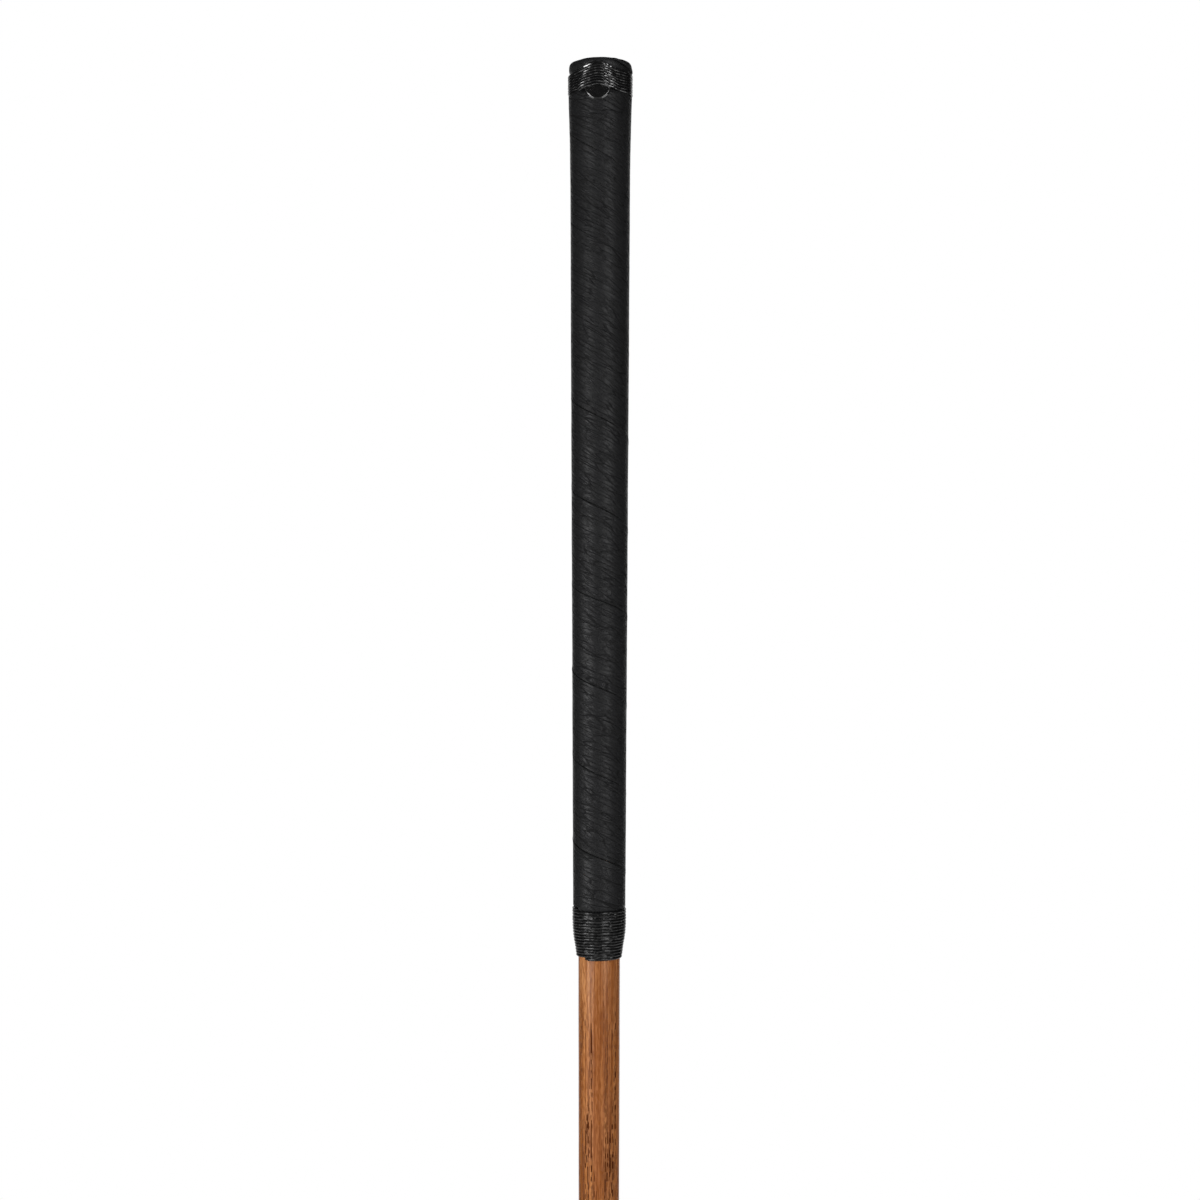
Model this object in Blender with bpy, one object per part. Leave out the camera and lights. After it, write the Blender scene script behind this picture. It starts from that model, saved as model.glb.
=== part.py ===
"""Hickory-shafted blade putter, upright, with its grip uppermost.

Units are metres. +Z runs up the shaft's axis to the butt, and the origin is on that axis at the middle of
the grip. The striking face looks along -Y and the toe points along -X, as on a right-handed club. The blade
slopes down to its toe by the lie, so that its sole is level once the club is held at its playing angle.
"""
import math
from typing import NamedTuple

import bmesh
import bpy
from mathutils import Vector

# Overall
CLUB_LENGTH = 0.876              # from the butt's crown to the sole, along the shaft
GRIP_LENGTH = 0.3332             # from the butt's crown to the lower binding's last turn
CLEARANCE = 0.0003               # between a piece and what it lies on

# Shaft
SHAFT_BUTT_RADIUS = 0.0081
SHAFT_GRIP_END_RADIUS = 0.00757
SHAFT_MOUTH_RADIUS = 0.0063      # where it enters the hosel
SHAFT_TIP_RADIUS = 0.0043        # at the bottom of the socket
SHAFT_TAPER_POWER = 1.2          # the taper quickens towards the head
SHAFT_BUTT_ROUND = 0.0012
SHAFT_SIDES = 32

# Leather of the grip
LEATHER_THICKNESS = 0.0012
GRIP_UPPER_RADIUS = 0.01135      # over the leather at the butt, without the flare
GRIP_LOWER_RADIUS = 0.00962      # over the leather at the grip's end
FLARE_RADIUS = 0.00055           # what the butt's flare adds
FLARE_LENGTH = 0.036
STRIP_PITCH = 0.03255            # down the shaft for one turn
STRIP_SEAM = 0.00045             # open line between two turns
STRIP_BEVEL_WIDTH = 0.0011       # pared edges of the strip
STRIP_BEVEL_DEPTH = 0.0004
STRIP_SEAM_HEIGHT = 0.0395       # of one seam where it crosses the -X side, above the origin
STRIP_STEPS = 28                 # sections in a turn
STRIP_FEATHER = 0.00035          # thickness of the pared lower end

# Cloth under the leather
LISTING_PITCH = 0.036
LISTING_SEAM = 0.0006
LISTING_DROP = 0.0005            # below the straight side of the shaft's butt
LISTING_STOP = 0.055             # above the grip's lower end
LISTING_STEPS = 20

# Leather cap over the butt
CROWN_THICKNESS = 0.0032
CROWN_RISE = 0.0010              # of the domed top over its edge
SHOULDER_ROUND = 0.0026
CAP_SIDES = 36

# Thread bindings
THREAD_DIAMETER = 0.0006
THREAD_SPACING = 0.00044         # open line between two turns
LOOP_POINTS = 24
THREAD_PROUD = 0.00015           # over the leather beside the binding
TOP_BINDING_DROP = 0.0046        # from the crown to the first turn
TOP_BINDING_LENGTH = 0.0082
LOW_BINDING_LENGTH = 0.0182
LOW_BINDING_STRAIGHT = 0.0078    # length before it draws in to the wood
WOOD_UNDER_BINDING = 0.0056      # length that lies on bare wood
BINDING_STEP_DOWN = 0.0022       # length over which it comes down off the leather's end
WAIST_BLEND = 0.0010             # over which the leather is drawn in beside a binding
BUMP_BLEND = 0.0035              # over which the thread comes down off a tack's head

# Tacks
TACK_HEAD_RADIUS = 0.0052
TACK_HEAD_THICKNESS = 0.00045
TACK_RIM_HEIGHT = 0.00015
TACK_RIM_WIDTH = 0.0009
TACK_SHANK_RADIUS = 0.0009
TACK_LENGTH = 0.0095
TACK_AZIMUTH = math.radians(265)
TACK_DROP = 0.0118               # from the crown to the head's middle
TACK_STAND = 0.0001              # of the head's pocket over the leather under the thread
LOW_TACK_HEAD_RADIUS = 0.0022
LOW_TACK_HEAD_THICKNESS = 0.0004
LOW_TACK_SHANK_RADIUS = 0.0006
LOW_TACK_LENGTH = 0.0065
LOW_TACK_AZIMUTH = math.radians(80)
LOW_TACK_DROP = 0.0052           # from the lower binding's first turn
TACK_SIDES = 24
LOW_TACK_SIDES = 12

# Head, measured square to the sole and along it from the foot of the shaft's axis
LIE = math.radians(71)
LOFT = math.radians(4.5)
HOSEL_HEIGHT = 0.105             # from the sole to the hosel's mouth, along the shaft
HOSEL_WALL = 0.0009              # at the mouth
HOSEL_RIM_CHAMFER = 0.0003
NECK_RADIUS = 0.0061
SOCKET_DEPTH = 0.074
SOCKET_FLOOR_GAP = 0.0008        # left for cement below the shaft's tip
BEND_RADIUS = 0.0155             # of the neck, along its middle
SPINE_HEIGHT = 0.0125            # of the blade's middle line over the sole
TOE_REACH = 0.098
HEEL_DEPTH = 0.0215              # of the blade, where the neck has ended
TOE_DEPTH = 0.0250
SOLE_WIDTH = 0.0072
TOP_LINE_WIDTH = 0.0046
LEADING_EDGE = 0.0032            # in front of the shaft's axis
EDGE_ROUND = 0.0009
TOE_TOP_ROUND = 0.0115
TOE_SOLE_ROUND = 0.0080
CORNER_POINTS = 8                # in each quarter of a section
BEND_SECTIONS = 11
TOE_SECTIONS = 7

# Rivet
PIN_RADIUS = 0.00125
PIN_DROP = 0.022                 # below the hosel's mouth
PIN_CROWN = 0.00015              # height of the peened ends
PIN_SIDES = 24

# Places that follow from the sizes
CROWN_Z = GRIP_LENGTH / 2
GRIP_END_Z = -GRIP_LENGTH / 2
SOLE_Z = CROWN_Z - CLUB_LENGTH
MOUTH_Z = SOLE_Z + HOSEL_HEIGHT
SOCKET_FLOOR_Z = MOUTH_Z - SOCKET_DEPTH
SHAFT_TOP_Z = CROWN_Z - CROWN_THICKNESS - CLEARANCE
TOP_BINDING_START_Z = CROWN_Z - TOP_BINDING_DROP
TOP_BINDING_END_Z = TOP_BINDING_START_Z - TOP_BINDING_LENGTH
CAP_JOIN_Z = (TOP_BINDING_START_Z + TOP_BINDING_END_Z) / 2
LISTING_END_Z = GRIP_END_Z + LISTING_STOP
LOW_BINDING_START_Z = GRIP_END_Z + LOW_BINDING_LENGTH
LOW_BINDING_TAPER_Z = LOW_BINDING_START_Z - LOW_BINDING_STRAIGHT
LEATHER_END_Z = GRIP_END_Z + WOOD_UNDER_BINDING
THREAD_REST = THREAD_DIAMETER + CLEARANCE
HOSEL_MOUTH_RADIUS = SHAFT_MOUTH_RADIUS + CLEARANCE + HOSEL_WALL
TILT = math.pi / 2 - LIE
TOEWARD = Vector((-math.cos(TILT), 0, -math.sin(TILT)))
SOLE_UP = Vector((-math.sin(TILT), 0, math.cos(TILT)))
FRONT = Vector((0, -1, 0))


def mix(low, high, share):
    """Return the value a share of the way from low to high."""
    return low + (high - low) * share


def clamp(share):
    """Return a share held between 0 and 1."""
    return min(max(share, 0.0), 1.0)


def smooth(share):
    """Return an eased share held between 0 and 1."""
    share = clamp(share)
    return share * share * (3 - 2 * share)


def polar(radius, azimuth, z):
    """Return the point at a radius and an angle about the shaft's axis."""
    return Vector((radius * math.cos(azimuth), radius * math.sin(azimuth), z))


# Radii along the club

def shaft_radius(z):
    """Radius of the wood."""
    if z >= GRIP_END_Z:
        share = clamp((z - GRIP_END_Z) / (SHAFT_TOP_Z - GRIP_END_Z))
        return mix(SHAFT_GRIP_END_RADIUS, SHAFT_BUTT_RADIUS, share)
    if z >= MOUTH_Z:
        share = (GRIP_END_Z - z) / (GRIP_END_Z - MOUTH_Z)
        return mix(SHAFT_GRIP_END_RADIUS, SHAFT_MOUTH_RADIUS, share ** SHAFT_TAPER_POWER)
    return mix(SHAFT_MOUTH_RADIUS, SHAFT_TIP_RADIUS, (MOUTH_Z - z) / SOCKET_DEPTH)


def taper_radius(z):
    """Radius over the leather without the butt's flare."""
    return mix(GRIP_LOWER_RADIUS, GRIP_UPPER_RADIUS, (z - GRIP_END_Z) / GRIP_LENGTH)


def open_radius(z):
    """Radius over the leather where no thread draws it in."""
    return taper_radius(z) + FLARE_RADIUS * clamp(1 - (TOP_BINDING_END_Z - z) / FLARE_LENGTH) ** 2


def top_thread_radius():
    """Radius over the upper binding."""
    return open_radius(TOP_BINDING_END_Z) + THREAD_PROUD


def low_thread_radius(z):
    """Radius over the lower binding, which draws in along the leather and steps down on to the wood."""
    full = open_radius(LOW_BINDING_START_Z) + THREAD_PROUD
    wood = shaft_radius(z) + THREAD_REST
    on_leather_end = wood + CLEARANCE + STRIP_FEATHER
    if z >= LEATHER_END_Z:
        share = (LOW_BINDING_TAPER_Z - z) / (LOW_BINDING_TAPER_Z - LEATHER_END_Z)
        return mix(full, on_leather_end, clamp(share))
    return mix(on_leather_end, wood, clamp((LEATHER_END_Z - z) / BINDING_STEP_DOWN))


def leather_inner_radius(z):
    """Radius of the leather's flesh side, which closes on the wood below the cloth."""
    free = taper_radius(z) - LEATHER_THICKNESS
    wood = shaft_radius(z) + CLEARANCE
    share = clamp((z - LOW_BINDING_START_Z) / (LISTING_END_Z - LOW_BINDING_START_Z))
    return mix(wood, free, share)


def leather_outer_radius(z):
    """Radius of the leather's grain side, drawn in under both bindings."""
    if z > 0:
        bound = top_thread_radius() - THREAD_REST
        depth = z - TOP_BINDING_END_Z
    else:
        bound = low_thread_radius(z) - THREAD_REST
        depth = LOW_BINDING_START_Z - z
    return mix(open_radius(z), bound, smooth(1 + depth / WAIST_BLEND))


def hosel_radius(z):
    """Radius over the hosel, which narrows from its mouth to the neck."""
    return mix(HOSEL_MOUTH_RADIUS, NECK_RADIUS, clamp((MOUTH_Z - z) / (MOUTH_Z - bend_start().z)))


# Shared modelling steps

def clear_scene():
    """Remove what the open file holds."""
    for item in list(bpy.data.objects):
        bpy.data.objects.remove(item, do_unlink=True)


def material(name, color, roughness, metallic=0.0):
    """Return a Principled material."""
    finish = bpy.data.materials.new(name)
    finish.use_nodes = True
    shader = finish.node_tree.nodes["Principled BSDF"]
    shader.inputs["Base Color"].default_value = (*color, 1.0)
    shader.inputs["Roughness"].default_value = roughness
    shader.inputs["Metallic"].default_value = metallic
    return finish


def add_object(name, data, finish=None):
    """Link mesh or curve data to the scene as a named object."""
    item = bpy.data.objects.new(name, data)
    bpy.context.scene.collection.objects.link(item)
    if finish:
        data.materials.append(finish)
    return item


def add_mesh(name, shape, finish=None, sharp_degrees=35):
    """Turn a bmesh into an object, faces outward, smooth but for its sharp edges."""
    bmesh.ops.recalc_face_normals(shape, faces=shape.faces)
    mesh = bpy.data.meshes.new(name)
    shape.to_mesh(mesh)
    shape.free()
    mesh.shade_smooth()
    mesh.set_sharp_from_angle(angle=math.radians(sharp_degrees))
    return add_object(name, mesh, finish)


def as_cutter(item):
    """Mark an object as a tool shape that is no piece of the club."""
    item.hide_render = True
    item.display_type = "WIRE"
    return item


def cut(item, cutter):
    """Take a cutter's shape out of an object."""
    boolean = item.modifiers.new("cut_by_" + cutter.name, "BOOLEAN")
    boolean.operation = "DIFFERENCE"
    boolean.solver = "EXACT"
    boolean.object = cutter


def loft(rings):
    """Return a bmesh skinned over closed rings of points, with a flat face on each end.

    Rings of equal count are joined point to point. Where the count changes, the two are bridged.
    """
    shape = bmesh.new()
    loops = []
    for ring in rings:
        loops.append([shape.verts.new(point) for point in ring])
    for first, second in zip(loops, loops[1:]):
        if len(first) == len(second):
            for i in range(len(first)):
                shape.faces.new((first[i - 1], first[i], second[i], second[i - 1]))
        else:
            edges = []
            for ring in (first, second):
                for i in range(len(ring)):
                    pair = (ring[i - 1], ring[i])
                    edges.append(shape.edges.get(pair) or shape.edges.new(pair))
            bmesh.ops.bridge_loops(shape, edges=edges)
    shape.faces.new(loops[0])
    shape.faces.new(reversed(loops[-1]))
    return shape


def turned(name, profile, sides, finish):
    """Return a solid of revolution from (radius, height) points that run from top to bottom."""
    shape = bmesh.new()
    points = [shape.verts.new((radius, 0, height)) for radius, height in profile]
    for first, second in zip(points, points[1:]):
        shape.edges.new((first, second))
    mesh = bpy.data.meshes.new(name)
    shape.to_mesh(mesh)
    shape.free()
    item = add_object(name, mesh, finish)
    screw = item.modifiers.new("turning", "SCREW")
    screw.steps = sides
    screw.render_steps = sides
    screw.use_merge_vertices = True
    screw.merge_threshold = 0.00001
    screw.use_smooth_shade = True
    return item


def disc_ring(middle, across, along, radius, sides):
    """Return points round a circle that is spanned by two unit directions."""
    turns = [math.tau * i / sides for i in range(sides)]
    return [middle + (across * math.cos(turn) + along * math.sin(turn)) * radius for turn in turns]


# Shaft

def build_shaft(finish):
    """Turn the tapered shaft from its butt to its tip."""
    tip_z = SOCKET_FLOOR_Z + SOCKET_FLOOR_GAP
    round_steps = 3
    bare_steps = 8
    profile = [(0, SHAFT_TOP_Z)]
    for i in range(round_steps + 1):
        angle = math.pi / 2 * i / round_steps
        inset = SHAFT_BUTT_ROUND * (1 - math.sin(angle))
        drop = SHAFT_BUTT_ROUND * (1 - math.cos(angle))
        profile.append((shaft_radius(SHAFT_TOP_Z) - inset, SHAFT_TOP_Z - drop))
    for i in range(bare_steps + 1):
        z = mix(GRIP_END_Z, MOUTH_Z, i / bare_steps)
        profile.append((shaft_radius(z), z))
    profile.append((shaft_radius(tip_z), tip_z))
    profile.append((0, tip_z))
    return turned("hickory_shaft", profile, SHAFT_SIDES, finish)


# Wound strips of the grip

def wound_strip(pitch, seam, seam_height, top, bottom, steps, section):
    """Return rings along a strip that is wound left-handed down the grip.

    seam_height is where one upper edge crosses the -X side. Both ends are cut on the slant, so that the
    winding starts level at the top and stops level at the bottom. section gives the points of a ring, as
    (radius, height), for a stretch from a lower to an upper edge.
    """
    least_width = pitch / steps
    edge_at_zero = seam_height + pitch / 2 - pitch
    first = math.floor((edge_at_zero - pitch + seam - top) / pitch * steps)
    last = math.ceil((edge_at_zero - bottom) / pitch * steps)
    rings = []
    for step in range(first, last + 1):
        turn = step / steps
        edge = edge_at_zero - pitch * turn
        high = min(edge, top)
        low = max(edge - pitch + seam, bottom)
        if high - low > least_width:
            rings.append([polar(radius, math.tau * turn, z) for radius, z in section(low, high)])
    return rings


def knots_between(heights, low, high):
    """Return the heights at which a profile bends, from low to high, clear of both ends."""
    margin = STRIP_BEVEL_WIDTH / 4
    return sorted(z for z in heights if low + margin < z < high - margin)


def leather_section(low, high):
    """Section of the leather: pared edges outside, and a bend wherever the grip's outline has one."""
    bevel = min(STRIP_BEVEL_WIDTH, (high - low) / 3)
    outer_knots = (
        TOP_BINDING_END_Z,
        TOP_BINDING_END_Z - WAIST_BLEND / 2,
        TOP_BINDING_END_Z - WAIST_BLEND,
        TOP_BINDING_END_Z - FLARE_LENGTH / 3,
        TOP_BINDING_END_Z - FLARE_LENGTH * 2 / 3,
        LOW_BINDING_START_Z + WAIST_BLEND,
        LOW_BINDING_START_Z + WAIST_BLEND / 2,
        LOW_BINDING_START_Z,
        LOW_BINDING_TAPER_Z,
    )
    inner_knots = (LISTING_END_Z, LOW_BINDING_START_Z)
    thin = min(leather_outer_radius(low) - leather_inner_radius(low), STRIP_BEVEL_DEPTH * 2)
    points = [(leather_inner_radius(low), low), (leather_outer_radius(low) - thin / 2, low)]
    for z in [low + bevel, *knots_between(outer_knots, low + bevel, high - bevel), high - bevel]:
        points.append((leather_outer_radius(z), z))
    thin = min(leather_outer_radius(high) - leather_inner_radius(high), STRIP_BEVEL_DEPTH * 2)
    points += [(leather_outer_radius(high) - thin / 2, high), (leather_inner_radius(high), high)]
    for z in reversed(knots_between(inner_knots, low, high)):
        points.append((leather_inner_radius(z), z))
    return points


def listing_section(low, high):
    """Section of the cloth, from the wood out to the leather."""
    return [
        (shaft_radius(low) + CLEARANCE, low),
        (leather_inner_radius(low) - CLEARANCE, low),
        (leather_inner_radius(high) - CLEARANCE, high),
        (shaft_radius(high) + CLEARANCE, high),
    ]


def build_underlisting(finish):
    """Wind the cloth strip that fills out the grip under the leather."""
    top = SHAFT_TOP_Z - SHAFT_BUTT_ROUND - LISTING_DROP
    height = STRIP_SEAM_HEIGHT + LISTING_PITCH / 3
    rings = wound_strip(
        LISTING_PITCH, LISTING_SEAM, height, top, LISTING_END_Z, LISTING_STEPS, listing_section
    )
    return add_mesh("underlisting", loft(rings), finish)


def build_leather_strip(finish):
    """Wind the leather strip from the cap's skirt to its pared end under the lower thread."""
    rings = wound_strip(
        STRIP_PITCH, STRIP_SEAM, STRIP_SEAM_HEIGHT, CAP_JOIN_Z, LEATHER_END_Z, STRIP_STEPS, leather_section
    )
    return add_mesh("leather_strip", loft(rings), finish)


# Butt cap

def build_butt_cap(finish):
    """Turn the leather cap: a low dome, a round shoulder, and a skirt drawn in under the thread."""
    round_steps = 5
    shoulder_radius = open_radius(TOP_BINDING_END_Z) - THREAD_PROUD
    edge_z = CROWN_Z - CROWN_RISE
    flat_radius = shoulder_radius - SHOULDER_ROUND
    profile = [(0, CROWN_Z), (flat_radius / 2, CROWN_Z - CROWN_RISE / 4)]
    for i in range(round_steps + 1):
        angle = math.pi / 2 * i / round_steps
        radius = flat_radius + SHOULDER_ROUND * math.sin(angle)
        profile.append((radius, edge_z - SHOULDER_ROUND * (1 - math.cos(angle))))
    waist = top_thread_radius() - THREAD_REST
    inside = leather_inner_radius(CAP_JOIN_Z)
    skirt_z = CAP_JOIN_Z + CLEARANCE
    ceiling_z = SHAFT_TOP_Z + CLEARANCE
    profile += [
        (waist, min(TOP_BINDING_START_Z, edge_z - SHOULDER_ROUND - WAIST_BLEND / 2)),
        (waist, skirt_z),
        (inside, skirt_z),
        (inside, ceiling_z - SHAFT_BUTT_ROUND),
        (inside - SHAFT_BUTT_ROUND, ceiling_z),
        (0, ceiling_z),
    ]
    return turned("butt_cap", profile, CAP_SIDES, finish)


# Tacks

class Tack(NamedTuple):
    """One tack, driven square to the shaft's axis, with its head bent to the grip."""

    name: str
    azimuth: float
    z: float
    seat_radius: float
    head_radius: float
    head_thickness: float
    rim_height: float
    rim_width: float
    shank_radius: float
    length: float
    sides: int


def grip_tack():
    """Return the broad tack on the front, half under the upper thread."""
    return Tack(
        name="grip_tack",
        azimuth=TACK_AZIMUTH,
        z=CROWN_Z - TACK_DROP,
        seat_radius=top_thread_radius() - THREAD_REST + TACK_STAND + CLEARANCE,
        head_radius=TACK_HEAD_RADIUS,
        head_thickness=TACK_HEAD_THICKNESS,
        rim_height=TACK_RIM_HEIGHT,
        rim_width=TACK_RIM_WIDTH,
        shank_radius=TACK_SHANK_RADIUS,
        length=TACK_LENGTH,
        sides=TACK_SIDES,
    )


def lower_tack():
    """Return the small flush tack that holds the strip's tail under the lower thread."""
    z = LOW_BINDING_START_Z - LOW_TACK_DROP
    flush = low_thread_radius(z) - THREAD_REST
    return Tack(
        name="lower_tack",
        azimuth=LOW_TACK_AZIMUTH,
        z=z,
        seat_radius=flush - LOW_TACK_HEAD_THICKNESS,
        head_radius=LOW_TACK_HEAD_RADIUS,
        head_thickness=LOW_TACK_HEAD_THICKNESS,
        rim_height=0.0,
        rim_width=LOW_TACK_HEAD_THICKNESS,
        shank_radius=LOW_TACK_SHANK_RADIUS,
        length=LOW_TACK_LENGTH,
        sides=LOW_TACK_SIDES,
    )


def bent_ring(tack, distance, radius):
    """Return a ring of the head at a distance from its middle, bent round the shaft's axis."""
    ring = []
    for i in range(tack.sides):
        turn = math.tau * i / tack.sides
        across = distance * math.cos(turn) / tack.seat_radius
        ring.append(polar(radius, tack.azimuth + across, tack.z + distance * math.sin(turn)))
    return ring


def shank_ring(tack, radius_from_axis, thickness):
    """Return a flat ring of the shank."""
    outward = polar(1, tack.azimuth, 0)
    across = Vector((-outward.y, outward.x, 0))
    middle = outward * radius_from_axis + Vector((0, 0, tack.z))
    return disc_ring(middle, across, Vector((0, 0, 1)), thickness, tack.sides)


def build_tack(tack, finish):
    """Loft a tack from the middle of its head, round its rim and down to its point."""
    face = tack.seat_radius + tack.head_thickness
    head = (
        (0.1, face),
        (0.5, face),
        (1 - tack.rim_width / tack.head_radius, face),
        (1 - tack.rim_width / tack.head_radius / 2, face + tack.rim_height),
        (1, face - tack.head_thickness / 3),
        (1, tack.seat_radius + tack.head_thickness / 4),
        (0.98, tack.seat_radius),
        (0.5, tack.seat_radius),
        (tack.shank_radius / tack.head_radius, tack.seat_radius),
    )
    rings = [bent_ring(tack, share * tack.head_radius, radius) for share, radius in head]
    shank = ((0.7, 0.85), (1.0, 0.15))
    for share, thickness in shank:
        reach = tack.seat_radius - tack.length * share
        rings.append(shank_ring(tack, reach, tack.shank_radius * thickness))
    return add_mesh(tack.name, loft(rings), finish)


def tack_pocket(tack):
    """Return the cutter of the head's seat in the leather."""
    radius = tack.head_radius + CLEARANCE
    floor = tack.seat_radius - CLEARANCE
    mouth = tack.seat_radius + tack.head_radius
    rings = [bent_ring(tack, radius * share, floor) for share in (0.1, 0.5, 1)]
    rings += [bent_ring(tack, radius * share, mouth) for share in (1, 0.5, 0.1)]
    return as_cutter(add_mesh(tack.name + "_pocket", loft(rings)))


def tack_hole(tack):
    """Return the cutter of the shank's hole through leather and cloth and into the wood."""
    start = tack.seat_radius + tack.head_radius
    end = tack.seat_radius - tack.length - CLEARANCE
    rings = [shank_ring(tack, reach, tack.shank_radius + CLEARANCE) for reach in (start, end)]
    return as_cutter(add_mesh(tack.name + "_hole", loft(rings)))


# Thread bindings

def binding_points(start_z, end_z, start_azimuth, thread_radius):
    """Return points down a close winding and the number of its turns.

    thread_radius gives the radius over the thread at an azimuth and a height. The thread's two ends run
    straight for one diameter.
    """
    pitch = THREAD_DIAMETER + THREAD_SPACING
    fall = start_z - end_z - THREAD_DIAMETER
    turns = fall / pitch
    count = round(turns * LOOP_POINTS)
    points = []
    for i in range(count + 1):
        z = start_z - THREAD_DIAMETER / 2 - fall * i / count
        azimuth = start_azimuth + math.tau * turns * i / count
        points.append(polar(thread_radius(azimuth, z) - THREAD_DIAMETER / 2, azimuth, z))
    first = (points[0] - points[1]).normalized() * THREAD_DIAMETER
    last = (points[-1] - points[-2]).normalized() * THREAD_DIAMETER
    return [points[0] + first, *points, points[-1] + last], turns


def least_gap(points):
    """Return the least gap between neighbouring turns of a thread, measured from point to segment."""
    least = math.inf
    for i, point in enumerate(points):
        for j in range(i + LOOP_POINTS // 2, min(i + LOOP_POINTS * 2, len(points) - 1)):
            start = points[j]
            run = points[j + 1] - start
            share = clamp((point - start).dot(run) / run.length_squared)
            least = min(least, (point - start - run * share).length)
    return least - THREAD_DIAMETER


def build_binding(name, points, turns, finish):
    """Run a round thread through a winding's points, as one unbroken tube."""
    curve = bpy.data.curves.new(name, "CURVE")
    curve.dimensions = "3D"
    curve.bevel_depth = THREAD_DIAMETER / 2
    curve.bevel_resolution = 1
    curve.use_fill_caps = True
    spline = curve.splines.new("POLY")
    spline.points.add(len(points) - 1)
    for target, point in zip(spline.points, points):
        target.co = (*point, 1)
    spline.use_smooth = True
    print(f"{name}: {turns:.1f} turns, least gap to itself {least_gap(points) * 1000:.3f} mm")
    return add_object(name, curve, finish)


def build_top_whipping(tack, finish):
    """Wind the thread round the butt, riding over the upper half of the tack's head."""
    over_head = tack.seat_radius + tack.head_thickness + tack.rim_height + THREAD_REST
    half_chord = math.pi / LOOP_POINTS * over_head

    def thread_radius(azimuth, z):
        turn = math.remainder(azimuth - tack.azimuth, math.tau)
        distance = math.hypot(turn * tack.seat_radius, z - tack.z)
        past = distance - tack.head_radius - half_chord
        return mix(top_thread_radius(), over_head, smooth(1 - past / BUMP_BLEND))

    start_azimuth = tack.azimuth + math.pi
    points, turns = binding_points(TOP_BINDING_START_Z, TOP_BINDING_END_Z, start_azimuth, thread_radius)
    return build_binding("top_whipping", points, turns, finish)


def build_bottom_whipping(finish):
    """Wind the thread from the leather's lower end down on to the wood."""

    def thread_radius(_azimuth, z):
        return low_thread_radius(z)

    points, turns = binding_points(LOW_BINDING_START_Z, GRIP_END_Z, math.pi / 2, thread_radius)
    return build_binding("bottom_whipping", points, turns, finish)


# Head

def section_ring(middle, up, low, high, corner, front_at, back_at, width):
    """Return one section of the head: an upright rectangle with round corners, leaned and tapered.

    low and high are heights from the middle, along up. front_at and back_at give the section's two faces
    in front of the shaft's axis at a height. width is its nominal width, which the corner is drawn for.
    """
    ring = []
    half = width / 2
    corners = ((1, high - corner), (-1, high - corner), (-1, low + corner), (1, low + corner))
    for quarter, (side, centre_height) in enumerate(corners):
        for i in range(CORNER_POINTS):
            angle = math.pi / 2 * (quarter + (i + 0.5) / CORNER_POINTS)
            share = (side * (half - corner) + corner * math.cos(angle)) / half
            height = centre_height + corner * math.sin(angle)
            front = front_at(height)
            back = back_at(height)
            ring.append(middle + up * height + FRONT * mix(back, front, (share + 1) / 2))
    return ring


def round_ring(z, radius):
    """Return a round section of the hosel or its socket, square to the shaft's axis."""
    return section_ring(
        Vector((0, 0, z)), Vector((-1, 0, 0)), -radius, radius, radius,
        lambda _height: radius, lambda _height: -radius, radius * 2,
    )


def bend_start():
    """Return the point on the shaft's axis where the neck begins to bend into the blade."""
    height = SPINE_HEIGHT / math.cos(TILT) + BEND_RADIUS * math.tan(LIE / 2)
    return Vector((0, 0, SOLE_Z + height))


def face_front(height):
    """Place of the striking face in front of the shaft's axis, at a height over the sole."""
    return LEADING_EDGE - height * math.tan(LOFT)


def blade_back(height):
    """Place of the blade's back, at a height over the sole."""
    return face_front(height) - mix(SOLE_WIDTH, TOP_LINE_WIDTH, height / TOE_DEPTH)


def neck_ring(share):
    """Return a section of the bend, from the round neck at 0 to the full blade at 1."""
    angle = LIE * share
    blend = smooth(share)
    up = Vector((-math.cos(angle), 0, math.sin(angle)))
    middle = bend_start() - Vector((BEND_RADIUS, 0, 0)) - up * BEND_RADIUS

    def front_at(height):
        return mix(NECK_RADIUS, face_front(height + SPINE_HEIGHT), blend)

    def back_at(height):
        return mix(-NECK_RADIUS, blade_back(height + SPINE_HEIGHT), blend)

    low = mix(-NECK_RADIUS, -SPINE_HEIGHT, blend)
    high = mix(NECK_RADIUS, HEEL_DEPTH - SPINE_HEIGHT, blend)
    corner = mix(NECK_RADIUS, EDGE_ROUND, blend)
    return section_ring(middle, up, low, high, corner, front_at, back_at, mix(NECK_RADIUS * 2, SOLE_WIDTH, blend))


def corner_inset(to_end, radius):
    """How far a round corner of a radius has drawn in, at a distance before the end."""
    if to_end >= radius:
        return 0.0
    return radius - math.sqrt(radius ** 2 - (radius - to_end) ** 2)


def blade_ring(reach):
    """Return a section of the blade at a distance towards the toe from the foot of the shaft's axis."""
    start = BEND_RADIUS * math.tan(LIE / 2) - SPINE_HEIGHT * math.tan(TILT)
    to_end = TOE_REACH - reach
    share = (reach - start) / (TOE_REACH - start)
    depth = mix(HEEL_DEPTH, TOE_DEPTH, share)
    edge = corner_inset(to_end, EDGE_ROUND)
    low = -SPINE_HEIGHT + corner_inset(to_end, TOE_SOLE_ROUND)
    high = depth - SPINE_HEIGHT - corner_inset(to_end, TOE_TOP_ROUND)
    middle = Vector((0, 0, SOLE_Z)) + TOEWARD * reach + SOLE_UP * SPINE_HEIGHT
    return section_ring(
        middle, SOLE_UP, low, high, EDGE_ROUND,
        lambda height: face_front(height + SPINE_HEIGHT) - edge,
        lambda height: blade_back(height + SPINE_HEIGHT) + edge,
        SOLE_WIDTH,
    )


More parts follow.
